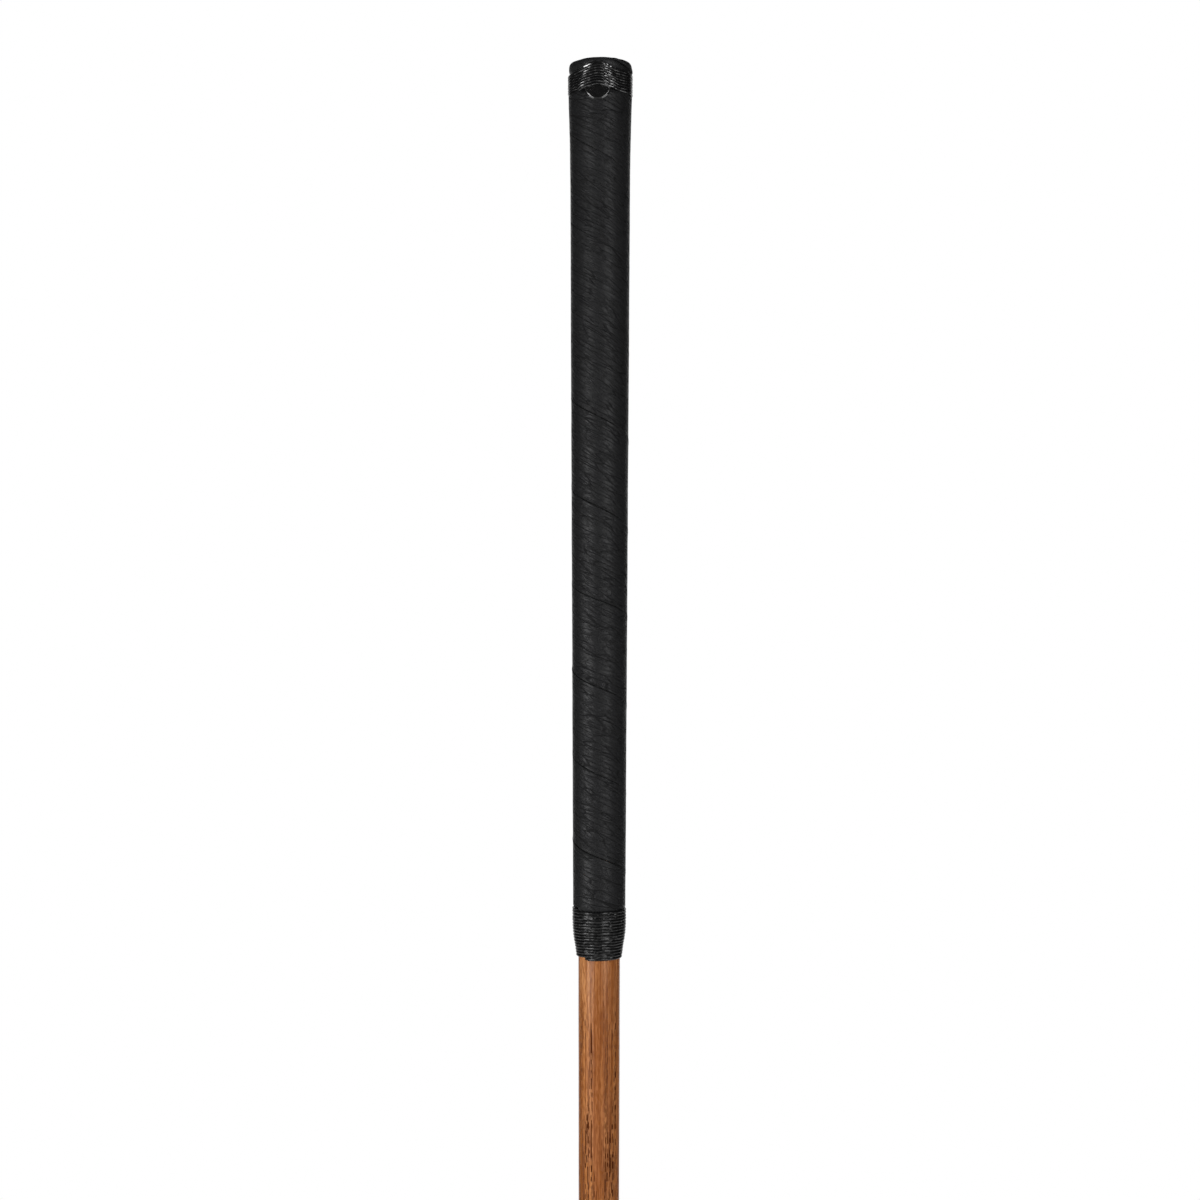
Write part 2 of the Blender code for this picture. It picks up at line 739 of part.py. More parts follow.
def build_putter_head(finish):
    """Loft the forging: up the socket, over the mouth, down the hosel, round the neck, along the blade."""
    bore = SHAFT_MOUTH_RADIUS + CLEARANCE
    floor = SHAFT_TIP_RADIUS + CLEARANCE
    rings = [
        round_ring(SOCKET_FLOOR_Z - floor / 2, floor / 8),
        round_ring(SOCKET_FLOOR_Z, floor),
        round_ring(MOUTH_Z, bore),
        round_ring(MOUTH_Z, HOSEL_MOUTH_RADIUS - HOSEL_RIM_CHAMFER),
        round_ring(MOUTH_Z - HOSEL_RIM_CHAMFER, HOSEL_MOUTH_RADIUS),
    ]
    for side in (1, -1):
        z = MOUTH_Z - PIN_DROP + PIN_RADIUS * 2 * side
        rings.append(round_ring(z, hosel_radius(z)))
    rings += [neck_ring(i / (BEND_SECTIONS - 1)) for i in range(BEND_SECTIONS)]
    full_reach = TOE_REACH - TOE_TOP_ROUND
    rings.append(blade_ring(full_reach))
    for i in range(1, TOE_SECTIONS):
        rings.append(blade_ring(full_reach + TOE_TOP_ROUND * math.sin(math.pi / 2 * i / TOE_SECTIONS)))
    for share in (0.5, 0.15, 0.0):
        rings.append(blade_ring(TOE_REACH - EDGE_ROUND * share * share))
    return add_mesh("putter_head", loft(rings), finish)


# Rivet

def pin_ring(place, radius, sides=PIN_SIDES):
    """Return a ring of the rivet at a place in front of the shaft's axis."""
    middle = Vector((0, 0, MOUTH_Z - PIN_DROP)) + FRONT * place
    return disc_ring(middle, Vector((1, 0, 0)), Vector((0, 0, 1)), radius, sides)


def build_hosel_pin(finish):
    """Loft the rivet, with peened ends that lie flush with the hosel."""
    surface = hosel_radius(MOUTH_Z - PIN_DROP)
    edge = math.sqrt(surface ** 2 - PIN_RADIUS ** 2)
    rings = [
        pin_ring(-surface - PIN_CROWN, PIN_RADIUS * 0.5),
        pin_ring(-edge, PIN_RADIUS),
        pin_ring(edge, PIN_RADIUS),
        pin_ring(surface + PIN_CROWN, PIN_RADIUS * 0.5),
    ]
    return add_mesh("hosel_pin", loft(rings), finish)


def pin_hole():
    """Return the cutter of the rivet's hole, right through the hosel."""
    reach = HOSEL_MOUTH_RADIUS * 2
    rings = [pin_ring(place, PIN_RADIUS + CLEARANCE) for place in (-reach, reach)]
    return as_cutter(add_mesh("pin_hole", loft(rings)))


def build_club():
    """Build every piece and cut the seats that they share."""
    hickory = material("hickory", (0.36, 0.14, 0.05), 0.42)
    leather = material("black_leather", (0.012, 0.012, 0.013), 0.5)
    cloth = material("listing_cloth", (0.30, 0.25, 0.17), 0.95)
    thread = material("pitched_thread", (0.006, 0.006, 0.007), 0.22)
    japanned = material("japanned_steel", (0.008, 0.008, 0.009), 0.15)
    forged = material("forged_steel", (0.42, 0.42, 0.41), 0.3, metallic=1.0)
    rivet = material("rivet_steel", (0.50, 0.49, 0.47), 0.35, metallic=1.0)

    shaft = build_shaft(hickory)
    listing = build_underlisting(cloth)
    strip = build_leather_strip(leather)
    cap = build_butt_cap(leather)
    head = build_putter_head(forged)
    build_hosel_pin(rivet)
    front_tack = grip_tack()
    tail_tack = lower_tack()
    build_tack(front_tack, japanned)
    build_tack(tail_tack, japanned)
    build_top_whipping(front_tack, thread)
    build_bottom_whipping(thread)

    rivet_hole = pin_hole()
    cut(head, rivet_hole)
    cut(shaft, rivet_hole)
    for tack, neighbours in ((front_tack, (strip, cap, listing, shaft)), (tail_tack, (strip, shaft))):
        pocket = tack_pocket(tack)
        hole = tack_hole(tack)
        for piece in neighbours:
            if piece is strip or piece is cap:
                cut(piece, pocket)
            if piece is not cap:
                cut(piece, hole)


if __name__ == "__main__":
    clear_scene()
    build_club()
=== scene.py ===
"""Looks of the hickory-shafted blade putter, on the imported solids.

Units are metres. +Z runs up the shaft to the butt, the face of the head looks along -Y and its toe points
along -X. The origin is on the shaft's axis at the middle of the grip.
"""
import logging
import math
from contextlib import contextmanager
from dataclasses import dataclass
from enum import Enum
from functools import cached_property, partial
from typing import Callable, Iterator

import bpy
import numpy as np
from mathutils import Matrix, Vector, noise


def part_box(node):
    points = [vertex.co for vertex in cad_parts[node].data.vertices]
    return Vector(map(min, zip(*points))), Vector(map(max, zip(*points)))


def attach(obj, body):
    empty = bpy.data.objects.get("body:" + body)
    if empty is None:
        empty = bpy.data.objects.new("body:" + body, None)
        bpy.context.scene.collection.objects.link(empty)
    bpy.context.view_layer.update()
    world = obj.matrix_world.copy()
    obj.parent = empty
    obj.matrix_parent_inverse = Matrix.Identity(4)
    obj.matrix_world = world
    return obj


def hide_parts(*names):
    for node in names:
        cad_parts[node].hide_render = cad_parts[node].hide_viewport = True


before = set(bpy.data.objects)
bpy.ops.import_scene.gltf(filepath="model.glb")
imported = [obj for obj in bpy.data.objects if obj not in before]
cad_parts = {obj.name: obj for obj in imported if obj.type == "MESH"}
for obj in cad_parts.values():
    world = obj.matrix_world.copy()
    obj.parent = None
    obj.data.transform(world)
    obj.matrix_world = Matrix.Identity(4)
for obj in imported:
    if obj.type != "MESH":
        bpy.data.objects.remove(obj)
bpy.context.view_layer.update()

log = logging.getLogger("putter")

Color = tuple[float, float, float]
Triple = tuple[float, float, float]
Place = Callable[[float], float]

ROOT = "root"
TURN = math.tau
MM = 0.001
MERGE = 0.000002
NODE_GAP = 180


class Slot(Enum):
    """Material slots of the record."""

    HICKORY = "hickory"
    CLOTH = "listing_cloth"
    LEATHER = "grip_leather"
    JAPAN = "japanned_steel"
    TACK = "tack_steel"
    THREAD = "pitched_thread"
    STEEL = "forged_steel"
    RIVET = "rivet_steel"


def mix(low: float, high: float, share: float) -> float:
    """Value a share of the way from low to high."""
    return low + (high - low) * share


def clamp(share: float) -> float:
    """Share held between 0 and 1."""
    return min(max(share, 0.0), 1.0)


def smooth(share: float) -> float:
    """Eased share held between 0 and 1."""
    share = clamp(share)
    return share * share * (3 - 2 * share)


def hump(off: float, width: float) -> float:
    """Bell that is 1 in its middle and falls off over a width."""
    return math.exp(-(off / width) ** 2)


def polar(radius: float, azimuth: float, z: float) -> Vector:
    """Point at a radius and an angle about the shaft's axis."""
    return Vector((radius * math.cos(azimuth), radius * math.sin(azimuth), z))


def lump(x: float, y: float, z: float) -> float:
    """Smooth, seedless unevenness between about -1 and 1 at a point."""
    return noise.noise(Vector((x, y, z)))


def curve(points: tuple[tuple[float, float], ...], at: float) -> float:
    """Height of a bent line at a place along it."""
    return float(np.interp(at, [place for place, _height in points], [height for _place, height in points]))


def quarter(steps: int) -> Iterator[tuple[float, float]]:
    """Sine and cosine at even steps of a quarter turn, both ends among them."""
    for i in range(steps + 1):
        angle = math.pi / 2 * i / steps
        yield math.sin(angle), math.cos(angle)


@dataclass(frozen=True)
class Winding:
    """Course of a close winding of thread that falls clockwise, seen from above."""

    start_z: float
    end_z: float
    turns: float
    end_azimuth: float
    thread: float
    overlap: float = 0.3

    def level(self, share: float) -> float:
        """Height of the thread's middle at a share of its length."""
        return mix(self.start_z - self.thread * self.overlap, self.end_z + self.thread * self.overlap, share)

    def azimuth(self, share: float) -> float:
        """Angle of the thread's middle at a share of its length."""
        return self.end_azimuth + TURN * self.turns * (1 - share)

    def lowest(self, azimuth: float) -> float:
        """Height of the last turn's middle at an angle."""
        return self.level(1 - (azimuth - self.end_azimuth) % TURN / TURN / self.turns)

    def highest(self, azimuth: float) -> float:
        """Height of the first turn's middle at an angle."""
        return self.level((self.azimuth(0) - azimuth) % TURN / TURN / self.turns)


@dataclass(frozen=True)
class ClubLines:
    """Heights and radii that neighbouring pieces share.

    low_shape is the lower binding's outline as (drop below its first turn, radius), and dome is the butt's as
    (radius, drop below its crown).
    """

    crown_z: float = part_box("butt_cap")[1].z
    shaft_top_z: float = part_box("hickory_shaft")[1].z
    shaft_tip_z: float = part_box("hickory_shaft")[0].z
    grip_end_z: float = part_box("bottom_whipping")[0].z
    mouth_z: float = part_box("putter_head")[1].z
    socket_depth: float = 0.074
    butt_radius: float = 0.0081
    grip_end_radius: float = 0.00772
    mouth_radius: float = 0.0063
    tip_radius: float = 0.0043
    taper_power: float = 1.2
    leather: float = 0.0012
    upper_radius: float = 0.01135
    lower_radius: float = 0.00962
    flare: float = 0.00055
    flare_length: float = 0.036
    thread: float = 0.00102
    proud: float = 0.00027
    clearance: float = 0.0003
    waist: float = 0.0005
    top_start_drop: float = 0.0054
    top_length: float = 0.0083
    top_turns: float = 7.8
    top_end_azimuth: float = math.radians(229)
    bow: float = 0.0019
    bow_width: float = 0.0046
    bow_azimuth: float = math.radians(265)
    low_length: float = 0.0186
    low_drop: float = 0.0003
    low_turns: float = 16.956
    low_end_azimuth: float = math.radians(230)
    wood_under_thread: float = 0.0056
    listing_stop: float = 0.055
    low_shape: tuple[tuple[float, float], ...] = (
        (0.0044, 0.01001), (0.0069, 0.00994), (0.0095, 0.00977), (0.0118, 0.00948), (0.0140, 0.00906),
        (0.0160, 0.00879), (0.0180, 0.00852), (0.0186, 0.00838),
    )
    dome: tuple[tuple[float, float], ...] = (
        (0.0010, 0.00001), (0.0028, 0.00008), (0.0046, 0.00026), (0.0060, 0.00048), (0.0071, 0.00070),
        (0.0080, 0.00082), (0.0090, 0.00098), (0.0097, 0.00111), (0.0103, 0.00125), (0.0108, 0.00142),
        (0.0112, 0.00164), (0.01142, 0.00190), (0.01158, 0.00226), (0.01168, 0.00270), (0.01172, 0.00324),
        (0.01170, 0.00400), (0.01160, 0.00470), (0.01135, 0.00520), (0.01096, 0.00570),
    )

    @property
    def top_start_z(self) -> float:
        """Height of the upper binding's first turn."""
        return self.crown_z - self.top_start_drop

    @property
    def top_end_z(self) -> float:
        """Height of the upper binding's last turn."""
        return self.top_start_z - self.top_length

    @property
    def low_start_z(self) -> float:
        """Height of the lower binding's first turn."""
        return self.grip_end_z + self.low_length

    @property
    def cap_join_z(self) -> float:
        """Height at which the cap's skirt meets the strip, under the thread."""
        return (self.top_start_z + self.top_end_z) / 2

    @property
    def leather_end_z(self) -> float:
        """Height of the leather's pared end."""
        return self.grip_end_z + self.wood_under_thread

    @cached_property
    def top_winding(self) -> Winding:
        """Course of the upper binding's thread."""
        return Winding(self.top_start_z, self.top_end_z, self.top_turns, self.top_end_azimuth, self.thread)

    @cached_property
    def low_winding(self) -> Winding:
        """Course of the lower binding's thread."""
        end_z = self.grip_end_z - self.low_drop
        return Winding(self.low_start_z, end_z, self.low_turns, self.low_end_azimuth, self.thread)

    def shaft(self, z: float) -> float:
        """Radius of the wood.

        Args:
            z: The height it is taken at.

        Returns:
            The radius.
        """
        if z >= self.grip_end_z:
            share = clamp((z - self.grip_end_z) / (self.shaft_top_z - self.grip_end_z))
            return mix(self.grip_end_radius, self.butt_radius, share)
        if z >= self.mouth_z:
            share = (self.grip_end_z - z) / (self.grip_end_z - self.mouth_z)
            return mix(self.grip_end_radius, self.mouth_radius, share ** self.taper_power)
        return mix(self.mouth_radius, self.tip_radius, (self.mouth_z - z) / self.socket_depth)

    def taper(self, z: float) -> float:
        """Radius over the leather without the butt's flare."""
        length = self.crown_z - self.grip_end_z
        return mix(self.lower_radius, self.upper_radius, (z - self.grip_end_z) / length)

    def open_leather(self, z: float) -> float:
        """Radius over the leather where no thread draws it in."""
        return self.taper(z) + self.flare * clamp(1 - (self.top_end_z - z) / self.flare_length) ** 2

    def top_thread(self) -> float:
        """Radius over the upper binding."""
        return self.open_leather(self.top_end_z) + self.proud

    def low_thread(self, z: float) -> float:
        """Radius over the lower binding at a height."""
        return curve(self.low_shape, self.low_start_z - z)

    def pressed(self, z: float) -> float:
        """How thick the lower binding's thread is, pulled flat where it runs on the wood."""
        return min(self.thread, self.low_thread(z) - self.shaft(z))

    def cap_outside(self, z: float) -> float:
        """Radius over the cap at a height on its shoulder or side."""
        return curve(tuple((drop, radius) for radius, drop in self.dome), self.crown_z - z)

    def bowed(self, azimuth: float) -> float:
        """How far the upper binding has slid up over the tack's head."""
        around = math.remainder(azimuth - self.bow_azimuth, TURN) * self.upper_radius
        return self.bow * hump(around, self.bow_width)

    def leather_inside(self, z: float) -> float:
        """Radius of the leather's flesh side, which closes on the wood below the cloth.

        Args:
            z: The height it is taken at.

        Returns:
            The radius.
        """
        free = self.taper(z) - self.leather
        wood = self.shaft(z) + self.clearance / 3
        stop_z = self.grip_end_z + self.listing_stop
        return mix(wood, free, clamp((z - self.low_start_z) / (stop_z - self.low_start_z)))

    def leather_outside(self, z: float, azimuth: float) -> float:
        """Radius of the leather's grain side, drawn in under both bindings.

        Args:
            z: The height it is taken at.
            azimuth: The angle it is taken at.

        Returns:
            The radius.
        """
        if z > 0:
            bound = self.top_thread() - self.thread
            depth = z - self.top_winding.lowest(azimuth) + self.thread / 2 - self.bowed(azimuth)
        else:
            bound = max(self.low_thread(z) - self.thread, self.leather_inside(z) + self.clearance / 3)
            depth = self.low_winding.highest(azimuth) + self.thread / 2 - z
        return mix(self.open_leather(z), bound, smooth(1 + depth / self.waist))


class Bench:
    """Modelling steps that every piece is made with."""

    @staticmethod
    def pick(piece: bpy.types.Object | None = None) -> None:
        """Leave edit mode, and make a piece, or nothing, the whole selection.

        Args:
            piece: The object, which becomes the active one.
        """
        if bpy.context.object and bpy.context.object.mode != "OBJECT":
            bpy.ops.object.mode_set(mode="OBJECT")
        bpy.ops.object.select_all(action="DESELECT")
        if piece:
            piece.select_set(True)
            bpy.context.view_layer.objects.active = piece

    @staticmethod
    @contextmanager
    def opened(piece: bpy.types.Object, whole: bool = True) -> Iterator[None]:
        """Hold a piece open in edit mode.

        Args:
            piece: The object.
            whole: Whether all of it is selected, or only what was chosen before.
        """
        Bench.pick(piece)
        bpy.ops.object.mode_set(mode="EDIT")
        if whole:
            bpy.ops.mesh.select_all(action="SELECT")
        yield
        bpy.ops.object.mode_set(mode="OBJECT")

    @staticmethod
    def choose(piece: bpy.types.Object, test: Callable[[list[Vector]], bool]) -> None:
        """Select the edges of a piece that pass a test.

        Args:
            piece: The object.
            test: Takes an edge as its two ends.
        """
        with Bench.opened(piece):
            bpy.ops.mesh.select_all(action="DESELECT")
            bpy.ops.mesh.select_mode(type="EDGE")
        mesh = piece.data
        for edge in mesh.edges:
            edge.select = test([mesh.vertices[i].co for i in edge.vertices])

    @staticmethod
    def added(name: str) -> bpy.types.Object:
        """Name the primitive that was just added, and take up its place in its mesh.

        Args:
            name: The piece's name.

        Returns:
            The piece, at the origin.
        """
        piece = bpy.context.object
        piece.name = name
        piece.data.name = name
        bpy.ops.object.transform_apply(location=True, rotation=True, scale=True)
        return piece

    @staticmethod
    def disc(name: str, sides: int, radius: float, fill: str = "NGON", z: float = 0.0) -> bpy.types.Object:
        """Add a round disc, or only its rim.

        Args:
            name: The piece's name.
            sides: Points round it.
            radius: Its radius.
            fill: NGON for a disc, NOTHING for a rim.
            z: Its height.

        Returns:
            The disc, lying level about the shaft's axis.
        """
        Bench.pick()
        bpy.ops.mesh.primitive_circle_add(vertices=sides, radius=radius, fill_type=fill, location=(0, 0, z))
        return Bench.added(name)

    @staticmethod
    def sheet(name: str, along: int, across: int) -> bpy.types.Object:
        """Add a flat sheet from 0 to 1 along X and across Y.

        Args:
            name: The piece's name.
            along: Faces along X.
            across: Faces along Y.

        Returns:
            The sheet.
        """
        Bench.pick()
        bpy.ops.mesh.primitive_grid_add(
            x_subdivisions=along, y_subdivisions=across, size=1, location=(0.5, 0.5, 0), calc_uvs=True
        )
        return Bench.added(name)

    @staticmethod
    def draw_out(rise: float, scale: float, z: float = 0.0) -> None:
        """Extrude the selected ring by a rise along Z and scale it about the axis at a height."""
        bpy.ops.mesh.extrude_region_move(TRANSFORM_OT_translate={"value": (0, 0, rise)})
        bpy.ops.transform.resize(value=(scale, scale, 1), center_override=(0, 0, z))

    @staticmethod
    def turned(name: str, rings: list[tuple[float, float]], sides: int) -> bpy.types.Object:
        """Turn a piece from a rim that is drawn out from ring to ring.

        Args:
            name: The piece's name.
            rings: Radius and height of each ring. Both ends are closed.
            sides: Points round the axis.

        Returns:
            The piece.
        """
        piece = Bench.disc(name, sides, rings[0][0], "NOTHING")
        with Bench.opened(piece):
            bpy.ops.mesh.select_mode(type="EDGE")
            bpy.ops.transform.translate(value=(0, 0, rings[0][1]))
            for (before, start), (radius, z) in zip(rings, rings[1:]):
                Bench.draw_out(z - start, radius / before, z)
        Bench.tidy(piece)
        return piece

    @staticmethod
    def use(piece: bpy.types.Object, kind: str, **settings: object) -> None:
        """Add a modifier to a piece and apply it.

        Args:
            piece: The object that takes it.
            kind: The modifier's type.
            **settings: Its properties by name.
        """
        Bench.pick(piece)
        modifier = piece.modifiers.new(kind.lower(), kind)
        for key, value in settings.items():
            setattr(modifier, key, value)
        bpy.ops.object.modifier_apply(modifier=modifier.name)

    @staticmethod
    def drill(piece: bpy.types.Object, z: float, radius: float, length: float) -> None:
        """Drill a piece right through along Y.

        Args:
            piece: The object.
            z: Height of the hole's middle.
            radius: The hole's radius.
            length: The drill's length.
        """
        Bench.pick()
        bpy.ops.mesh.primitive_cylinder_add(
            vertices=48, radius=radius, depth=length, location=(0, 0, z), rotation=(math.pi / 2, 0, 0)
        )
        bit = Bench.added("drill")
        Bench.use(piece, "BOOLEAN", operation="DIFFERENCE", solver="EXACT", object=bit)
        bpy.data.objects.remove(bit, do_unlink=True)

    @staticmethod
    def chart(piece: bpy.types.Object, name: str, place: Callable[[Vector], tuple[float, float]]) -> None:
        """Give a piece's UV map real lengths, before its points are laid.

        Args:
            piece: The object.
            name: The map's name.
            place: Takes a point and gives its two lengths in metres.
        """
        layer = piece.data.uv_layers.active
        layer.name = name
        places = [place(vertex.co) for vertex in piece.data.vertices]
        flat = np.array([places[loop.vertex_index] for loop in piece.data.loops], np.float32)
        layer.data.foreach_set("uv", flat.ravel())

    @staticmethod
    def lay(piece: bpy.types.Object, place: Callable[[Vector], Vector]) -> None:
        """Move every point of a piece to the place that a function gives for it."""
        for vertex in piece.data.vertices:
            vertex.co = place(vertex.co)
        piece.data.update()

    @staticmethod
    def tidy(piece: bpy.types.Object, fill: bool = True) -> None:
        """Merge doubles, close open ends and turn the faces outwards.

        Args:
            piece: The object.
            fill: Whether open ends are closed.
        """
        with Bench.opened(piece):
            bpy.ops.mesh.remove_doubles(threshold=MERGE)
            if fill:
                bpy.ops.mesh.fill_holes(sides=0)
            bpy.ops.mesh.select_all(action="SELECT")
            bpy.ops.mesh.normals_make_consistent(inside=False)

    @staticmethod
    def finish(piece: bpy.types.Object, look: bpy.types.Material, slot: Slot, *nodes: str,
               sharp: float = 35) -> None:
        """Smooth and dress a piece, hang it on the club and hide the solids that it stands for.

        Args:
            piece: The object.
            look: Its material.
            slot: The record's slot that the look belongs to. Not used.
            *nodes: The solids that it stands for.
            sharp: Degrees past which an edge stays sharp.
        """
        Bench.pick(piece)
        bpy.ops.object.shade_smooth_by_angle(angle=math.radians(sharp))
        piece.data.materials.clear()
        piece.data.materials.append(look)
        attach(piece, ROOT)
        if nodes:
            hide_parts(*nodes)
        log.info("%s: %d faces", piece.name, len(piece.data.polygons))


def add_node(tree: bpy.types.NodeTree, kind: str, inputs: dict, **settings: object) -> bpy.types.Node:
    """Add a node to a tree and feed it.

    Args:
        tree: The tree.
        kind: The node's type without its ShaderNode prefix.
        inputs: A wire or a plain value for each input that is fed, by name or number.
        **settings: The node's properties by name.

    Returns:
        The node.
    """
    node = tree.nodes.new("ShaderNode" + kind)
    for key, value in settings.items():
        setattr(node, key, value)
    node.location = (NODE_GAP * len(tree.nodes), 0)
    feed(node, inputs)
    return node


def feed(node: bpy.types.Node, inputs: dict) -> None:
    """Feed a node's inputs.

    Args:
        node: The node.
        inputs: A wire or a plain value for each, by name or number. None leaves one as it is.
    """
    for key, value in inputs.items():
        socket = node.inputs[key]
        if isinstance(value, Wire):
            node.id_data.links.new(value.socket, socket)
        elif value is not None:
            socket.default_value = (*value, 1.0) if socket.type == "RGBA" else value


class Wire:
    """A value, vector or colour that runs from node to node of one tree."""

    def __init__(self, socket: bpy.types.NodeSocket) -> None:
        """Start from a node's output."""
        self.socket = socket
        self.tree = socket.id_data

    def on(self, kind: str, inputs: dict, output: int | str = 0, **settings: object) -> "Wire":
        """Run on through a new node, fed by this wire among others, and go on from an output of it."""
        return Wire(add_node(self.tree, kind, inputs, **settings).outputs[output])

    def math(self, operation: str, *values: object) -> "Wire":
        """Result of a Math node on values, this wire among them."""
        return self.on("Math", dict(enumerate(values)), operation=operation)

    def __add__(self, other: object) -> "Wire":
        """Sum with a wire or a number."""
        return self.math("ADD", self, other)

    def __sub__(self, other: object) -> "Wire":
        """Difference from a wire or a number."""
        return self.math("SUBTRACT", self, other)

    def __rsub__(self, other: float) -> "Wire":
        """What is left of a number."""
        return self.math("SUBTRACT", other, self)

    def __mul__(self, other: object) -> "Wire":
        """Product with a wire or a number."""
        return self.math("MULTIPLY", self, other)

    def __truediv__(self, other: object) -> "Wire":
        """Quotient by a wire or a number."""
        return self.math("DIVIDE", self, other)

    def __abs__(self) -> "Wire":
        """Size without the sign."""
        return self.math("ABSOLUTE", self)

    def or_more(self, other: "Wire") -> "Wire":
        """The larger of two values."""
        return self.math("MAXIMUM", self, other)

    def held(self) -> "Wire":
        """The value held between 0 and 1."""
        return self.on("Clamp", {"Value": self})

    def ranged(self, low: float, high: float, to_low: float = 0.0, to_high: float = 1.0) -> "Wire":
        """Smoothly map a range of the value to another, which is held past its ends."""
        limits = {"Value": self, "From Min": low, "From Max": high, "To Min": to_low, "To Max": to_high}
        return self.on("MapRange", limits, interpolation_type="SMOOTHSTEP")

    def axis(self, name: str) -> "Wire":
        """One of a vector's three values, by its letter."""
        return self.on("SeparateXYZ", {0: self}, name)

    def scaled(self, scale: Triple | float, shift: Triple = (0, 0, 0), turn: Triple = (0, 0, 0)) -> "Wire":
        """Scale a vector by a factor for each axis or one for all, then turn it by radians and shift it."""
        factors = scale if isinstance(scale, tuple) else (scale, scale, scale)
        return self.on("Mapping", {"Vector": self, "Scale": factors, "Location": shift, "Rotation": turn})

    def moved(self, by: "Wire") -> "Wire":
        """A vector moved by another."""
        return self.on("VectorMath", {0: self, 1: by}, operation="ADD")

    def moved_aside(self, by: "Wire") -> "Wire":
        """A vector moved by a value along its first two axes."""
        return self.moved(self.on("CombineXYZ", {0: by, 1: by}))

    def noise(self, scale: Triple | float = 1.0, detail: float = 2.0, rough: float = 0.5,
              shift: Triple = (0, 0, 0)) -> "Wire":
        """Noise value on a vector.

        Args:
            scale: Of the pattern, or factors that the vector is stretched by first.
            detail: Octaves.
            rough: Strength of the finer octaves.
            shift: Added to a stretched vector.

        Returns:
            The value, between 0 and 1.
        """
        if isinstance(scale, tuple):
            return self.scaled(scale, shift).noise(1.0, detail, rough)
        inputs = {"Vector": self, "Scale": scale, "Detail": detail, "Roughness": rough}
        return self.on("TexNoise", inputs, "Fac")

    def cells(self, scale: float = 1.0, flat: bool = False) -> tuple["Wire", "Wire"]:
        """Cells about scattered centres.

        Args:
            scale: Of the pattern.
            flat: Whether the third axis is left out, so that the cells are columns.

        Returns:
            The distance to the nearest centre, and a chance colour for each cell.
        """
        inputs = {"Vector": self, "Scale": scale}
        node = add_node(self.tree, "TexVoronoi", inputs, voronoi_dimensions="2D" if flat else "3D")
        return Wire(node.outputs["Distance"]), Wire(node.outputs["Color"])

    def bump(self, depth: float, under: "Wire | None" = None) -> "Wire":
        """Turn a height between 0 and 1, a depth in metres, into a normal laid over another."""
        return self.on("Bump", {"Strength": 1.0, "Distance": depth, "Height": self, "Normal": under})


def tint(share: object, first: object, second: object) -> Wire:
    """Mix two colours by the share of the second, where at least one of the three is a wire."""
    wire = next(value for value in (share, first, second) if isinstance(value, Wire))
    return wire.on("Mix", {0: share, 6: first, 7: second}, 2, data_type="RGBA", blend_type="MIX")


def coated(color: object, *coats: tuple[object, object]) -> Wire:
    """Lay colours over another, each by its own share.

    Args:
        color: The colour under them, or its wire.
        *coats: Share and colour of each.

    Returns:
        The colour.
    """
    for share, coat in coats:
        color = tint(share, color, coat)
    return color


class Effect:
    """A shared effect: a node group that is built once, when a finish first places it."""

    def __init__(self, recipe: Callable[..., dict[str, Wire]], **defaults: float) -> None:
        """Take a recipe, which makes the outputs from a vector and from values with these defaults."""
        self.recipe = recipe
        self.defaults = defaults

    def build(self) -> bpy.types.NodeTree:
        """Make the group.

        Returns:
            The group.
        """
        tree = bpy.data.node_groups.new(self.recipe.__name__, "ShaderNodeTree")
        tree.interface.new_socket("Vector", in_out="INPUT", socket_type="NodeSocketVector")
        for name, default in self.defaults.items():
            socket = tree.interface.new_socket(name, in_out="INPUT", socket_type="NodeSocketFloat")
            socket.default_value = default
        inside = tree.nodes.new("NodeGroupInput")
        made = self.recipe(*[Wire(socket) for socket in inside.outputs if socket.name])
        for name in made:
            tree.interface.new_socket(name, in_out="OUTPUT", socket_type="NodeSocketFloat")
        feed(tree.nodes.new("NodeGroupOutput"), made)
        return tree

    def __call__(self, vector: Wire, **values: object) -> Wire | list[Wire]:
        """Place the group.

        Args:
            vector: Where it is read.
            **values: Its other inputs by name.

        Returns:
            Its output, or a list of them where it has more.
        """
        tree = bpy.data.node_groups.get(self.recipe.__name__) or self.build()
        node = add_node(vector.tree, "Group", {"Vector": vector, **values}, node_tree=tree)
        wires = [Wire(socket) for socket in node.outputs]
        return wires[0] if len(wires) == 1 else wires


@partial(Effect, Low=0.0, High=1.0)
def unevenness(vector: Wire, low: Wire, high: Wire) -> dict[str, Wire]:
    """Broad cloudy patches: handling, smoke and damp."""
    return {"Value": vector.noise(1.0, 3.0, 0.55).ranged(0.32, 0.68) * (high - low) + low}


@partial(Effect, Wander=0.6)
def creases(vector: Wire, wander: Wire) -> dict[str, Wire]:
    """Fine wrinkles: thin dark valleys between soft pads, drawn out along the vector's first axis.

    Args:
        vector: Where they are read.
        wander: How far they stray.

    Returns:
        Their height, and the mask of the valleys.
    """
    sway = vector.on("TexNoise", {"Vector": vector, "Scale": 0.45, "Detail": 1.0}, "Color")
    centred = sway.on("VectorMath", {0: sway, 1: (0.5, 0.5, 0.5)}, operation="SUBTRACT")
    wave = vector.moved(centred.on("VectorMath", {0: centred, "Scale": wander}, operation="SCALE")).noise()
    patch = vector.noise(0.31, 1.0).ranged(0.30, 0.54)
    # Mask of the valleys, into which the leather paints shade.
    shaded_valley = abs(wave - 0.5).ranged(0.0, 0.055, 1.0, 0.0) * patch
    return {"Height": wave.ranged(0.30, 0.70) - shaded_valley, "Valley": shaded_valley}


